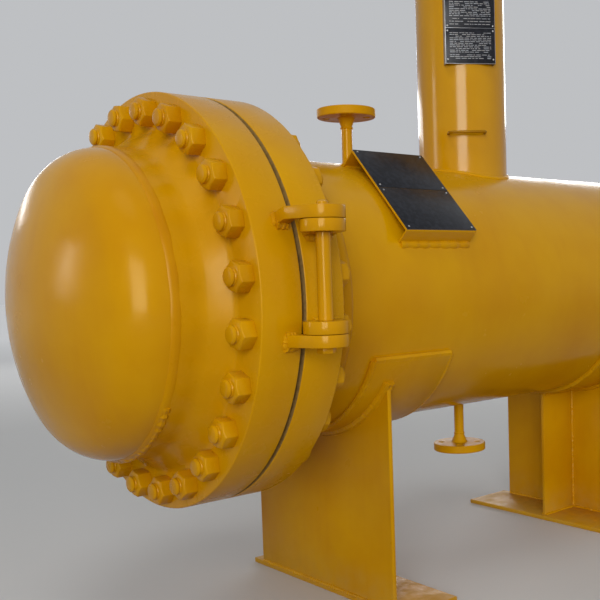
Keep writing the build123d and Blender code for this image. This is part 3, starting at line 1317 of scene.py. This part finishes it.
@dataclass
class Shell:
    """The round shell with its openings, and the standing column with its cap."""

    sizes: VesselSizes
    wall: float = 0.020
    shell_bands: int = 40
    nozzle_bore: float = 0.009
    column_wall: float = 0.010
    column_bands: int = 14
    cap_knuckle: float = 0.040
    cap_straight: float = 0.014
    cap_arc: int = 12
    foot_inset: float = 0.0008
    seam_inset: float = 0.0032
    foot_seam: WeldBead = WeldBead(
        0.0062, ripple_depth=0.03, unevenness=0.08, wander=0.0004, step=0.004, sides=3
    )
    cap_seam: WeldBead = WeldBead(0.005, ripple_depth=0.05, wander=0.0003, step=0.005)

    def tube(self) -> Mesh:
        """The shell as a tube with the openings for the column and the nozzles.

        Returns:
            The shell's mesh.
        """
        sizes = self.sizes
        low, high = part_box("shell")
        radius = sizes.shell_radius
        radii = (radius - self.wall, radius)
        span = (low.x, high.x)
        tube = pipe(radii, span, sizes.on_axis(0.0), X_AXIS, bands=self.shell_bands)
        column_x, column_radius, _ = self.column_box()
        reach = (0.0, radius * 1.2)
        cutters = []
        for x, hole_radius, up in (
            (column_x, column_radius - self.column_wall, 1.0),
            (middle_x("vent_neck"), self.nozzle_bore, 1.0),
            (middle_x("drain_neck"), self.nozzle_bore, -1.0),
        ):
            cutters.append(rod(hole_radius, reach, sizes.on_axis(x), Z_AXIS * up, SMALL_STEPS * 2))
        shell = carve(tube, join(cutters))
        inner = radius - self.wall * HALF
        mark_bare(shell, lambda spot, normal: (spot - sizes.on_axis(spot.x)).length < inner)
        return shell

    @staticmethod
    def column_box() -> tuple[float, float, float]:
        """The column's station along X, its radius and the height where its cap starts."""
        low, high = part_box("column_pipe")
        return (low.x + high.x) * HALF, (high.x - low.x) * HALF, high.z

    def column(self) -> Mesh:
        """The column's pipe, cut to sit on the shell.

        Returns:
            The pipe's mesh.
        """
        sizes = self.sizes
        x, radius, top = self.column_box()
        span = (sizes.shell_radius * 0.8, top - sizes.axis_height)
        radii = (radius - self.column_wall, radius)
        middle = sizes.on_axis(x)
        column = pipe(radii, span, middle, Z_AXIS, COLUMN_STEPS, self.column_bands)
        reach = radius * 1.3
        drum = rod(sizes.shell_radius, (-reach, reach), middle, X_AXIS, ROUND_STEPS)
        return carve(column, drum)

    def build(self) -> None:
        """Builds the shell, the column, its cap and their seams."""
        x, radius, top = self.column_box()
        end = Vector((x, 0.0, top))
        cap = DishedEnd(
            radius, self.column_wall, self.cap_knuckle, self.cap_straight, self.cap_arc, self.cap_arc
        )
        add_piece("round_shell", self.tube(), Look.SHELL, "shell", Look.BARE)
        add_piece("standing_column", self.column(), Look.COLUMN, "column_pipe")
        dome = cap.solid(end, Z_AXIS, COLUMN_STEPS)
        add_piece("column_dished_cap", dome, Look.COLUMN, "column_cap")
        foot = self.foot_seam.foot(self.sizes, x, radius - self.foot_inset, 1.0, 21)
        seam = self.cap_seam.loop(end, radius, self.seam_inset, 22)
        add_piece("column_seams", join([foot, seam]), Look.WELD)


@dataclass
class Nozzles:
    """The small vent and drain nozzles."""

    sizes: VesselSizes
    neck_radius: float = 0.0127
    neck_sink: float = 0.002
    bore: float = 0.009
    hub_radius: float = 0.021
    hub_length: float = 0.024
    flange_radius: float = 0.069
    flange_thickness: float = 0.020
    rim: float = 0.0016
    flange_steps: int = 72
    bolt_circle: float = 0.048
    bolt_hole: float = 0.009
    bolt_count: int = 4
    bolt_steps: int = 24
    overcut: float = 0.02
    foot_spread: float = 0.0015
    weld_inset: float = 0.0014
    bead: WeldBead = WeldBead(0.0034, ripple=0.006, step=0.002, wander=0.0003)

    def flange(self, origin: Vector, up: float) -> Mesh:
        """A flange with its hub, seen from the shell outwards.

        Args:
            origin: The centre of the hub's welded end.
            up: +1 for a nozzle above the shell and -1 for one below.

        Returns:
            The flange's mesh.
        """
        back = self.hub_length
        face = back + self.flange_thickness
        radius = self.flange_radius
        outline = [
            (0.0, self.bore),
            (0.0, self.neck_radius),
            (0.004, self.neck_radius + 0.0004),
            (back - 0.003, self.hub_radius - 0.0012),
            (back - 0.0008, self.hub_radius + 0.0006),
            (back, self.hub_radius + 0.003),
            (back, radius - self.rim),
            (back + self.rim, radius),
            (face - self.rim, radius),
            (face, radius - self.rim),
            (face, self.bore + 0.001),
            (face - 0.001, self.bore),
        ]
        axis = Z_AXIS * up
        disc = lathe(outline, origin, axis, self.flange_steps)
        span = (0.0, face + self.overcut)
        cutters = []
        for index in range(self.bolt_count):
            turn = (index + HALF) * math.tau / self.bolt_count
            spot = origin + Vector((math.cos(turn), math.sin(turn), 0.0)) * self.bolt_circle
            cutters.append(rod(self.bolt_hole, span, spot, axis, self.bolt_steps))
        return carve(disc, join(cutters))

    def build(self) -> None:
        """Builds both nozzles with their welds."""
        sizes = self.sizes
        for name, up, seed in (("vent", 1.0, 31), ("drain", -1.0, 34)):
            low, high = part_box(f"{name}_flange")
            x = (low.x + high.x) * HALF
            end = Vector((x, 0.0, low.z if up > 0 else high.z))
            flange = self.flange(end, up)
            span = (sizes.shell_radius - self.neck_sink, abs(end.z - sizes.axis_height))
            radii = (self.bore, self.neck_radius)
            neck = pipe(radii, span, sizes.on_axis(x), Z_AXIS * up, SMALL_STEPS)
            foot = self.bead.foot(sizes, x, self.neck_radius + self.foot_spread, up, seed)
            butt = self.bead.loop(end, self.neck_radius, self.weld_inset, seed + 1)
            add_piece(f"{name}_nozzle_flange", flange, Look.NOZZLE, f"{name}_flange")
            add_piece(f"{name}_nozzle_neck", neck, Look.SHELL, f"{name}_neck")
            add_piece(f"{name}_nozzle_welds", join([foot, butt]), Look.WELD)


@dataclass
class Hinge:
    """The closure's hinge: four lugs, the pin and the sleeve between the lugs."""

    sizes: VesselSizes
    edge: float = 0.0013
    lug_thickness: float = 0.022
    upper_bend: float = math.radians(17.0)
    bend_stand: float = 0.003
    cover_weld_inset: float = 0.014
    shell_weld_span: Span = (0.012, 0.068)
    pin_radius: float = 0.010
    pin_clearance: float = 0.0001
    head_flats: float = 0.030
    head_height: float = 0.010
    head_edge: float = 0.0008
    sleeve_rim: float = 0.0008
    under: WeldBead = WeldBead(0.0082, ripple=0.010, ripple_depth=0.12, unevenness=0.3, wander=0.0009)
    over: WeldBead = WeldBead(0.0050, ripple=0.008, ripple_depth=0.12, unevenness=0.3, wander=0.0007)

    def root_welds(self, node: str, seed: int) -> Mesh:
        """The beads above, below and beside a lug where it meets the flange's rim.

        Args:
            node: The lug's node.
            seed: Sets the beads' unevenness.

        Returns:
            The beads' mesh.
        """
        sizes = self.sizes
        low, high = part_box(node)
        if "cover" in node:
            start, end = low.x, sizes.cover_rim_back - self.cover_weld_inset
            open_x = start
        else:
            start, end = (sizes.shell_rim_front + inset for inset in self.shell_weld_span)
            open_x = end
        bend = self.upper_bend if "upper" in node else 0.0
        beads, ends = [], []
        levels = ((self.under, high.z - self.lug_thickness), (self.over, high.z))
        for index, (bead, z) in enumerate(levels):
            y, rim_z = self.rim_spot(z, bend)
            beads.append(bead.line(Vector((start, y, rim_z)), Vector((end, y, rim_z)), seed + index))
            ends.append(Vector((open_x, y, rim_z)))
        beads.append(self.over.line(ends[0], ends[1], seed + 2))
        return join(beads)

    def rim_spot(self, z: float, bend: float) -> Span:
        """Where a lug's level surface, bent down at its root, meets the flange's rim.

        Args:
            z: The height of the surface at the hinge.
            bend: The angle that it is bent down by.

        Returns:
            The place across the vessel and the height.
        """
        radius = self.sizes.flange_radius
        bend_y = -(radius + self.bend_stand)
        rise = z - self.sizes.axis_height
        fall = 0.0
        for _ in range(3):
            y = -math.sqrt(radius**2 - (rise - fall) ** 2)
            fall = (y - bend_y) * math.tan(bend)
        return y, z - fall

    def pin(self) -> Mesh:
        """The hinge pin with a rounded end above and a hexagon head below.

        Returns:
            The pin's mesh.
        """
        low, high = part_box("hinge_pin")
        radius = self.pin_radius
        length = high.z - low.z
        outline = [
            (self.head_height, 0.0),
            (self.head_height, radius),
            (length - 0.003, radius),
            (length - 0.0012, radius - 0.0018),
            (length, radius - 0.0055),
            (length, 0.0),
        ]
        foot = foot_of("hinge_pin")
        head = hexagon(self.head_flats, self.head_height, foot)
        soften(head, self.head_edge, angle=math.radians(40.0))
        return join([lathe(outline, foot, Z_AXIS, SMALL_STEPS), head])

    def sleeve(self) -> Mesh:
        """The distance tube between the two inner lugs.

        Returns:
            The tube's mesh.
        """
        low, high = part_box("hinge_sleeve")
        outer = (high.x - low.x) * HALF
        inner = self.pin_radius + self.pin_clearance
        length = high.z - low.z
        rim = self.sleeve_rim
        outline = [
            (0.0, inner),
            (0.0, outer - rim),
            (rim, outer),
            (length - rim, outer),
            (length, outer - rim),
            (length, inner),
        ]
        return lathe(outline, foot_of("hinge_sleeve"), Z_AXIS, SMALL_STEPS)

    def build(self) -> None:
        """Builds the lugs, their welds, the pin and the sleeve."""
        seed = 41
        for body in (Body.COVER, Body.VESSEL):
            for level in ("upper", "lower"):
                node = f"{level}_{'cover' if body is Body.COVER else 'shell'}_lug"
                lug = node_shape(node, self.edge)
                welds = self.root_welds(node, seed)
                add_piece(f"hinge_{node}", lug, Look.HINGE, node, body=body)
                add_piece(f"hinge_{node}_welds", welds, Look.WELD, body=body)
                seed += 4
        add_piece("hinge_pin_rod", self.pin(), Look.HINGE, "hinge_pin")
        add_piece("hinge_sleeve_tube", self.sleeve(), Look.HINGE, "hinge_sleeve")


@dataclass
class Saddle:
    """One saddle: its wear pad, web, rib and base plate, with their welds."""

    sizes: VesselSizes
    place: str
    inward: float
    edge: float = 0.0015
    drum_steps: int = 256
    pad_gap: float = 0.0002
    pad_steps: int = 90
    pad_edge_turn: float = math.radians(25.5)
    seat_depth: float = 0.003
    web_inset: float = 0.004
    web_gap: float = 0.001
    rib_inset: float = 0.003
    rib_gap: float = 0.002
    fillet: WeldBead = WeldBead(
        0.0080, ripple=0.010, ripple_depth=0.03, unevenness=0.08, wander=0.0004, step=0.0033
    )
    heavy: WeldBead = WeldBead(
        0.0105, ripple=0.012, ripple_depth=0.04, unevenness=0.10, wander=0.0005, step=0.004
    )
    thin: WeldBead = WeldBead(0.0048, ripple=0.008, unevenness=0.22, wander=0.0005)

    def plate(self, node: str) -> Mesh:
        """A flat plate of the saddle, its top cut to the pad's round where it reaches it.

        Args:
            node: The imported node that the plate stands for.

        Returns:
            The plate's mesh.
        """
        low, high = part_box(node)
        bm = block(low, high)
        if "base" not in node:
            reach = (high.x - low.x) * HALF + 0.01
            middle = self.sizes.on_axis((low.x + high.x) * HALF)
            drum = rod(self.pad_radius(), (-reach, reach), middle, X_AXIS, self.drum_steps)
            bm = carve(bm, drum)
        soften(bm, self.edge, angle=math.radians(35.0))
        return bm

    def pad_radius(self) -> float:
        """The outer radius of the wear pad."""
        return self.sizes.axis_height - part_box(f"{self.place}_saddle_pad")[0].z

    def pad(self) -> Mesh:
        """The wear pad, a curved plate wrapped under the shell.

        Returns:
            The pad's mesh.
        """
        sizes = self.sizes
        low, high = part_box(f"{self.place}_saddle_pad")
        inner = sizes.shell_radius + self.pad_gap
        outer = self.pad_radius()
        corners = [(low.x, inner), (high.x, inner), (high.x, outer), (low.x, outer)]
        bm = bmesh.new()
        verts = [bm.verts.new(sizes.around(x, radius, -self.pad_edge_turn)) for x, radius in corners]
        face = bm.faces.new(verts)
        bmesh.ops.spin(
            bm,
            geom=[face, *face.edges, *face.verts],
            cent=sizes.on_axis(0.0),
            axis=X_AXIS,
            angle=math.pi - 2.0 * self.pad_edge_turn,
            steps=self.pad_steps,
        )
        bmesh.ops.recalc_face_normals(bm, faces=bm.faces)
        soften(bm, self.edge, angle=SQUARE_ANGLE)
        return bm

    def welds(self, seed: int) -> Mesh:
        """The fillet welds of the saddle.

        Args:
            seed: Sets the beads' unevenness.

        Returns:
            The beads' mesh.
        """
        sizes = self.sizes
        pad_low, pad_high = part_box(f"{self.place}_saddle_pad")
        web_low, web_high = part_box(f"{self.place}_saddle_web")
        rib_low, rib_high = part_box(f"{self.place}_saddle_rib")
        base_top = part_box(f"{self.place}_base_plate")[1].z
        radius = self.pad_radius()
        seat = sizes.shell_radius + self.seat_depth
        turns = (-self.pad_edge_turn, -math.pi + self.pad_edge_turn)
        beads = [
            self.fillet.arc(sizes, pad_low.x, seat, turns, seed),
            self.fillet.arc(sizes, pad_high.x, seat, turns, seed + 1),
        ]
        for shift, turn in enumerate(turns, 2):
            ends = [sizes.around(x, seat, turn) for x in (pad_low.x, pad_high.x)]
            beads.append(self.fillet.line(*ends, seed + shift))
        web_turn = math.asin(min(1.0, web_high.y / radius)) - math.pi * HALF
        turns = (web_turn, -math.pi - web_turn)
        for shift, x in enumerate((web_low.x, web_high.x), 4):
            beads.append(self.heavy.arc(sizes, x, radius + self.web_gap, turns, seed + shift))
            ys = (web_low.y + self.web_inset, web_high.y - self.web_inset)
            beads.append(self.thin.line(*(Vector((x, y, base_top)) for y in ys), seed + shift + 2))
        near, far = (rib_low.x, rib_high.x) if self.inward > 0 else (rib_high.x, rib_low.x)
        far -= self.inward * self.rib_inset
        top = sizes.axis_height - radius - self.rib_gap
        for shift, y in enumerate((rib_low.y, rib_high.y), 8):
            foot, head = Vector((near, y, base_top)), Vector((near, y, top))
            foot_end, head_end = Vector((far, y, base_top)), Vector((far, y, top))
            beads.append(self.thin.line(foot, head, seed + shift))
            beads.append(self.thin.line(foot, foot_end, seed + shift + 2))
            beads.append(self.fillet.line(head, head_end, seed + shift + 4))
        return join(beads)

    def build(self, seed: int) -> None:
        """Builds the saddle's plates and welds.

        Args:
            seed: Sets the welds' unevenness.
        """
        for part in ("saddle_web", "saddle_rib", "base_plate", "saddle_pad"):
            node = f"{self.place}_{part}"
            steel = self.pad() if part == "saddle_pad" else self.plate(node)
            add_piece(f"{node}_steel", steel, Look.SADDLE, node)
        add_piece(f"{self.place}_saddle_welds", self.welds(seed), Look.WELD)


@dataclass(frozen=True)
class PlateFace:
    """A flat face that carries plates, with its own across, up and outward directions."""

    foot: Vector
    across: Vector
    up: Vector
    outward: Vector

    def spot(self, across: float, up: float, out: float) -> Vector:
        """A point by its distances across, up and outwards."""
        return self.foot + self.across * across + self.up * up + self.outward * out

    def sheet(self, across: Span, up: Span, out: float, thickness: float) -> Mesh:
        """A flat rectangle on the face.

        Args:
            across: Where it starts and ends across.
            up: Where it starts and ends upwards.
            out: How far out its back lies.
            thickness: Its thickness.

        Returns:
            The sheet's mesh.
        """
        corners = ((across[0], up[0]), (across[1], up[0]), (across[1], up[1]), (across[0], up[1]))
        outline = [self.spot(side, height, out) for side, height in corners]
        return extrude_outline(outline, self.outward * thickness)

    def rivets(self, radius: float, rise: float, spots: Iterable[Vector]) -> Mesh:
        """Domed rivet heads.

        Args:
            radius: Their radius.
            rise: Their height.
            spots: Where they sit.

        Returns:
            The heads' mesh.
        """
        steps = 6
        turns = [math.pi * HALF * i / steps for i in range(steps)]
        dome = [(rise * math.sin(turn), radius * math.cos(turn)) for turn in turns]
        outline = [(0.0, 0.0)] + dome + [(rise, 0.0)]
        return join(lathe(outline, spot, self.outward, 20) for spot in spots)

    def bare_edge(self, spot: Vector, normal: Vector) -> bool:
        """Whether a plate's face is part of its cut edge."""
        return abs(normal.dot(self.outward)) < 0.3


@dataclass
class NamePlates:
    """The folded bracket on the shell with its two riveted plates."""

    sizes: VesselSizes
    tilt: float = math.radians(43.5)
    face_distance: float = 0.3187
    low_edge: float = -0.116
    high_edge: float = 0.139
    thickness: float = 0.004
    outer_fold: float = 0.0042
    inner_fold: float = 0.0012
    bracket_edge: float = 0.0006
    seam: float = 0.0146
    seam_gap: float = 0.0015
    margin: float = 0.0015
    plate_thickness: float = 0.002
    plate_edge: float = 0.0005
    rivet_radius: float = 0.0026
    rivet_inset: float = 0.011
    foot_spread: float = 0.001
    weld_sink: float = 0.0045
    weld_inset: float = 0.004
    bead: WeldBead = WeldBead(
        0.0105, ripple=0.030, ripple_depth=0.08, unevenness=0.16, wander=0.0003, step=0.004, sides=4
    )

    def face(self) -> PlateFace:
        """The tilted face, measured from the vessel's axis.

        Returns:
            The face.
        """
        sine, cosine = math.sin(self.tilt), math.cos(self.tilt)
        up, outward = Vector((0.0, sine, cosine)), Vector((0.0, -cosine, sine))
        return PlateFace(self.sizes.on_axis(0.0), X_AXIS, up, outward)

    def shell_out(self, up: float) -> float:
        """How far out the shell's surface is at a place on the slope."""
        return math.sqrt(self.sizes.shell_radius**2 - up * up)

    def bracket(self, face: PlateFace, start_x: float, end_x: float) -> Mesh:
        """The folded sheet, its two returns welded to the shell.

        Args:
            face: The tilted face.
            start_x: The station where it starts.
            end_x: The station where it ends.

        Returns:
            The bracket's mesh.
        """
        front, back = self.face_distance, self.face_distance - self.thickness
        low_inner = self.low_edge + self.thickness
        high_inner = self.high_edge - self.thickness
        corners = [
            (self.low_edge, self.shell_out(self.low_edge)),
            (self.low_edge, front),
            (self.high_edge, front),
            (self.high_edge, self.shell_out(self.high_edge)),
            (high_inner, self.shell_out(high_inner)),
            (high_inner, back),
            (low_inner, back),
            (low_inner, self.shell_out(low_inner)),
        ]
        outline = [face.spot(start_x, up, out) for up, out in corners]
        bm = extrude_outline(outline, X_AXIS * (end_x - start_x))

        def on_fold(edge: bmesh.types.BMEdge, spot: Vector) -> bool:
            """Whether an edge runs along X through a point of the outline.

            Args:
                edge: The edge.
                spot: The point.

            Returns:
                True where it does.
            """
            first, last = (vert.co for vert in edge.verts)
            lies_along = abs(abs((last - first).normalized().x) - 1.0) < 1e-4
            return lies_along and (Vector((start_x, *first.yz)) - spot).length < 1e-5

        folds = []
        for up, out, width in (
            (self.low_edge, front, self.outer_fold),
            (self.high_edge, front, self.outer_fold),
            (low_inner, back, self.inner_fold),
            (high_inner, back, self.inner_fold),
        ):
            spot = face.spot(start_x, up, out)
            folds.append(([edge for edge in bm.edges if on_fold(edge, spot)], width))
        for edges, width in folds:
            round_edges(bm, edges, width, 4)
        soften(bm, self.bracket_edge, 1, math.radians(60.0))
        return bm

    def build(self) -> None:
        """Builds the bracket, its plates, their rivets and the bracket's welds."""
        low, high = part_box("name_plate_bracket")
        start_x, end_x = low.x, high.x
        face = self.face()
        bracket = self.bracket(face, start_x, end_x)
        add_piece("folded_plate_bracket", bracket, Look.SHELL, "name_plate_bracket")
        across = (start_x + self.margin, end_x - self.margin)
        rivet_xs = (start_x + self.rivet_inset, end_x - self.rivet_inset)
        half_gap = self.seam_gap * HALF
        front = self.face_distance + self.plate_thickness
        for name, bottom, top in (
            ("lower", self.low_edge + self.margin, self.seam - half_gap),
            ("upper", self.seam + half_gap, self.high_edge - self.margin),
        ):
            plate = face.sheet(across, (bottom, top), self.face_distance, self.plate_thickness)
            soften(plate, self.plate_edge)
            mark_bare(plate, face.bare_edge)
            add_piece(
                f"{name}_black_plate", plate, Look.PLATE, f"{name}_name_plate",
                Look.ETCHED,
            )
            rows = (bottom + self.rivet_inset * 0.8, top - self.rivet_inset * 0.6)
            spots = [face.spot(x, up, front) for up in rows for x in rivet_xs]
            rivets = face.rivets(self.rivet_radius, self.rivet_radius * 0.55, spots)
            add_piece(f"{name}_plate_rivets", rivets, Look.RIVET)
        beads = []
        for seed, up in enumerate((self.low_edge - self.foot_spread, self.high_edge), 61):
            out = self.shell_out(up) - self.weld_sink
            ends = (start_x + self.weld_inset, end_x - self.weld_inset)
            beads.append(self.bead.line(*(face.spot(x, up, out) for x in ends), seed))
        add_piece("plate_bracket_welds", join(beads), Look.WELD)


@dataclass
class ColumnFittings:
    """What the column carries: a folded bracket with two riveted plates, and a small bar bracket."""

    turn: float = math.radians(33.0)
    face_distance: float = 0.1193
    edge: float = 0.0005
    fold_edge: float = 0.0012
    bar_edge: float = 0.0003
    plate_thickness: float = 0.002
    rivet_radius: float = 0.0024
    rivet_across: float = 0.0585
    rivet_drop: float = 0.0065
    row_pitch: float = 0.0043
    row_height: float = 0.0014
    row_relief: float = 0.0002
    row_margin: float = 0.011
    bar_lengths: Span = (0.003, 0.014)
    bar_gaps: Span = (0.0012, 0.0035)
    shortest_bar: float = 0.002
    bar_share: float = 0.84
    row_steps: tuple[float, ...] = (1.0, 1.0, 1.0, 1.6)
    row_seed: int = 71

    def face(self) -> PlateFace:
        """The bracket's upright face, measured from the column's axis.

        Returns:
            The face. Its across direction runs to the left, seen from outside.
        """
        sine, cosine = math.sin(self.turn), math.cos(self.turn)
        foot = Vector((middle_x("column_pipe"), 0.0, 0.0))
        across, outward = Vector((-cosine, sine, 0.0)), Vector((-sine, -cosine, 0.0))
        return PlateFace(foot, across, Z_AXIS, outward)

    def rows(self, face: PlateFace, heights: Span, draw: random.Random) -> Mesh:
        """Plain rows of short bars, in the place of a plate's etched lines.

        Args:
            face: The bracket's face.
            heights: The heights of the plate's lower and upper edge.
            draw: Sets the bars' lengths.

        Returns:
            The bars' mesh.
        """
        reach = self.rivet_across - self.row_margin * HALF
        out = self.face_distance + self.plate_thickness
        bars = []
        z = heights[1] - self.row_margin
        while z - self.row_height > heights[0] + self.row_margin * HALF:
            start = reach
            while start > -reach:
                stop = max(start - draw.uniform(*self.bar_lengths), -reach)
                if draw.random() < self.bar_share and start - stop > self.shortest_bar:
                    span = (z, z - self.row_height)
                    bars.append(face.sheet((start, stop), span, out, self.row_relief))
                start = stop - draw.uniform(*self.bar_gaps)
            z -= self.row_pitch * draw.choice(self.row_steps)
        return join(bars)

    def build(self) -> None:
        """Builds the bracket, its plates with their rows and rivets, and the bar bracket."""
        draw = random.Random(self.row_seed)
        face = self.face()
        node = "column_plate_bracket"
        bracket = node_shape(node, self.fold_edge)
        add_piece("column_folded_bracket", bracket, Look.ETCHED, node)
        front = self.face_distance + self.plate_thickness
        for name, rivet_rise in (("lower", 0.009), ("upper", 0.0045)):
            node = f"{name}_column_plate"
            low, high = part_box(node)
            plate = node_shape(node, self.edge)
            mark_bare(plate, face.bare_edge)
            add_piece(
                f"{name}_column_black_plate", plate, Look.PLATE, node, Look.ETCHED
            )
            rows = self.rows(face, (low.z, high.z), draw)
            add_piece(f"{name}_column_plate_rows", rows, Look.ETCHED)
            spots = [
                face.spot(across, z, front)
                for z in (low.z + rivet_rise, high.z - self.rivet_drop)
                for across in (-self.rivet_across, self.rivet_across)
            ]
            rivets = face.rivets(self.rivet_radius, self.rivet_radius * HALF, spots)
            add_piece(f"{name}_column_plate_rivets", rivets, Look.RIVET)
        node = "column_bar_bracket"
        # The bar's darker enamel is painted shade.
        add_piece("column_bar", node_shape(node, self.bar_edge), Look.BAR, node)


# Camera, light and floor


@dataclass(frozen=True)
class Lamp:
    """A soft rectangular lamp: its place, width, height, power in watts and mirror image."""

    name: str
    spot: tuple[float, float, float]
    width: float
    height: float
    power: float
    mirrored: bool = True

    def hang(self, aim: Vector) -> None:
        """Adds the lamp to the scene.

        Args:
            aim: The point that it looks at.
        """
        data = bpy.data.lights.new(self.name, "AREA")
        data.shape = "RECTANGLE"
        data.size = self.width
        data.size_y = self.height
        data.energy = self.power
        lamp = bpy.data.objects.new(self.name, data)
        lamp.location = Vector(self.spot)
        lamp.rotation_euler = (aim - Vector(self.spot)).to_track_quat("-Z", "Y").to_euler()
        lamp.visible_camera = False
        lamp.visible_glossy = self.mirrored
        bpy.context.scene.collection.objects.link(lamp)


@dataclass(frozen=True)
class Studio:
    """The viewpoint of the photograph, soft lamps and a pale floor."""

    viewpoint: Vector = Vector((-1.3208, -1.7223, 0.7437))
    heading: float = 0.74138
    climb: float = -0.07157
    roll: float = -0.02691
    focal_pixels: float = 909.47
    centre_x: float = 420.0
    centre_y: float = 336.43
    sight_reach: float = 100.0
    middle: Vector = Vector((0.1, 0.0, 0.8))
    lamps: tuple[Lamp, ...] = (
        Lamp("window_row", (2.6, 6.4, 2.3), 8.0, 0.4, 45.0),
        Lamp("window_far", (6.6, 4.4, 3.0), 5.0, 1.4, 120.0),
        Lamp("window_front", (-4.2, -6.2, 4.6), 8.0, 4.0, 34.0, mirrored=False),
        Lamp("open_door", (-5.0, -5.4, 2.2), 3.2, 4.0, 300.0),
        Lamp("roof_light", (-1.7, -0.9, 4.4), 1.6, 1.2, 32.0, mirrored=False),
        Lamp("window_left", (-6.1, 3.8, 1.9), 1.2, 1.8, 30.0),
        Lamp("window_side", (2.2, -6.2, 1.8), 5.0, 2.0, 66.0, mirrored=False),
    )
    floor_colour: Colour = (0.66, 0.66, 0.65)
    floor_bounce: Colour = (0.24, 0.15, 0.06)
    floor_roughness: float = 0.8
    floor_fade: Span = (3.0, 11.0)
    floor_glow: float = 0.40
    floor_side: float = 60.0
    floor_parts: int = 8
    sky_colour: Colour = (0.92, 0.94, 0.97)
    plain_strength: float = 0.205
    seen_strength: float = 0.56

    def camera(self) -> None:
        """Creates the camera."""
        sine, cosine = math.sin(self.heading), math.cos(self.heading)
        level = math.cos(self.climb)
        forward = Vector((sine * level, cosine * level, math.sin(self.climb)))
        right = Vector((cosine, -sine, 0.0))
        up = right.cross(forward)
        turned_right = right * math.cos(self.roll) + up * math.sin(self.roll)
        turned_up = up * math.cos(self.roll) - right * math.sin(self.roll)
        data = bpy.data.cameras.new("photo_view")
        data.sensor_width = SENSOR_WIDTH
        data.lens = SENSOR_WIDTH * self.focal_pixels / IMAGE_SIDE
        data.shift_x = (IMAGE_SIDE * HALF - self.centre_x) / IMAGE_SIDE
        data.shift_y = (self.centre_y - IMAGE_SIDE * HALF) / IMAGE_SIDE
        data.clip_end = self.sight_reach
        camera = bpy.data.objects.new("photo_view", data)
        axes = Matrix((turned_right, turned_up, -forward)).transposed().to_4x4()
        camera.matrix_world = Matrix.Translation(self.viewpoint) @ axes
        bpy.context.scene.collection.objects.link(camera)
        bpy.context.scene.camera = camera

    @staticmethod
    def seen_share(sheet: NodeSheet) -> Socket:
        """Whether the eye, a mirror or a pane looks at a surface.

        Args:
            sheet: The sheet of the surface or the world.

        Returns:
            One where it is looked at, and zero where it only gives light.
        """
        rays = sheet.add("LightPath").outputs
        mirrored = sheet.maths("MAXIMUM", rays["Is Camera Ray"], rays["Is Glossy Ray"])
        return sheet.maths("MAXIMUM", mirrored, rays["Is Transmission Ray"])

    def sky(self) -> None:
        """Sets the even light from all around."""
        world = bpy.data.worlds.new("studio_sky")
        world.use_nodes = True
        sheet = NodeSheet(world.node_tree)
        strengths = (self.plain_strength, self.seen_strength)
        strength = sheet.remap(self.seen_share(sheet), (0.0, 1.0), strengths)
        back = world.node_tree.nodes["Background"]
        sheet.fill(back, Color=self.sky_colour, Strength=strength)
        bpy.context.scene.world = world

    def floor(self) -> None:
        """Lays the pale floor."""
        bm = bmesh.new()
        parts = self.floor_parts
        bmesh.ops.create_grid(bm, x_segments=parts, y_segments=parts, size=self.floor_side * HALF)
        mesh = bpy.data.meshes.new("studio_floor")
        bm.to_mesh(mesh)
        bm.free()
        material, sheet, surface = Finish("studio_floor").start()
        seen = self.seen_share(sheet)
        away = sheet.add("VectorMath", {"operation": "LENGTH"}, Vector=sheet.place())
        fade = sheet.remap(away.outputs["Value"], self.floor_fade, (0.0, self.floor_glow))
        sheet.fill(
            surface,
            Base_Color=sheet.blend(seen, self.floor_bounce, self.floor_colour),
            Emission_Strength=sheet.maths("MULTIPLY", fade, seen),
            Emission_Color=self.sky_colour,
            Roughness=self.floor_roughness,
        )
        mesh.materials.append(material)
        floor = bpy.data.objects.new("studio_floor", mesh)
        floor.location = (0.0, 0.0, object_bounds()[0][2])
        bpy.context.scene.collection.objects.link(floor)
        floor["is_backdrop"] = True

    def build(self) -> None:
        """Builds the camera, the lamps, the sky and the floor."""
        self.camera()
        for lamp in self.lamps:
            lamp.hang(self.middle)
        self.sky()
        self.floor()
        bpy.context.scene.view_settings.view_transform = "Standard"


def main() -> None:
    """Builds the whole object and its studio."""
    logging.basicConfig(level=logging.INFO, format="%(name)s %(message)s")
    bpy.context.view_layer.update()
    sizes = VesselSizes.read()
    Studio().build()
    Closure(sizes).build()
    StudBolts(sizes).build()
    Shell(sizes).build()
    Nozzles(sizes).build()
    Hinge(sizes).build()
    Saddle(sizes, "front", 1.0).build(101)
    Saddle(sizes, "rear", -1.0).build(131)
    NamePlates(sizes).build()
    ColumnFittings().build()


if __name__ == "__main__":
    main()
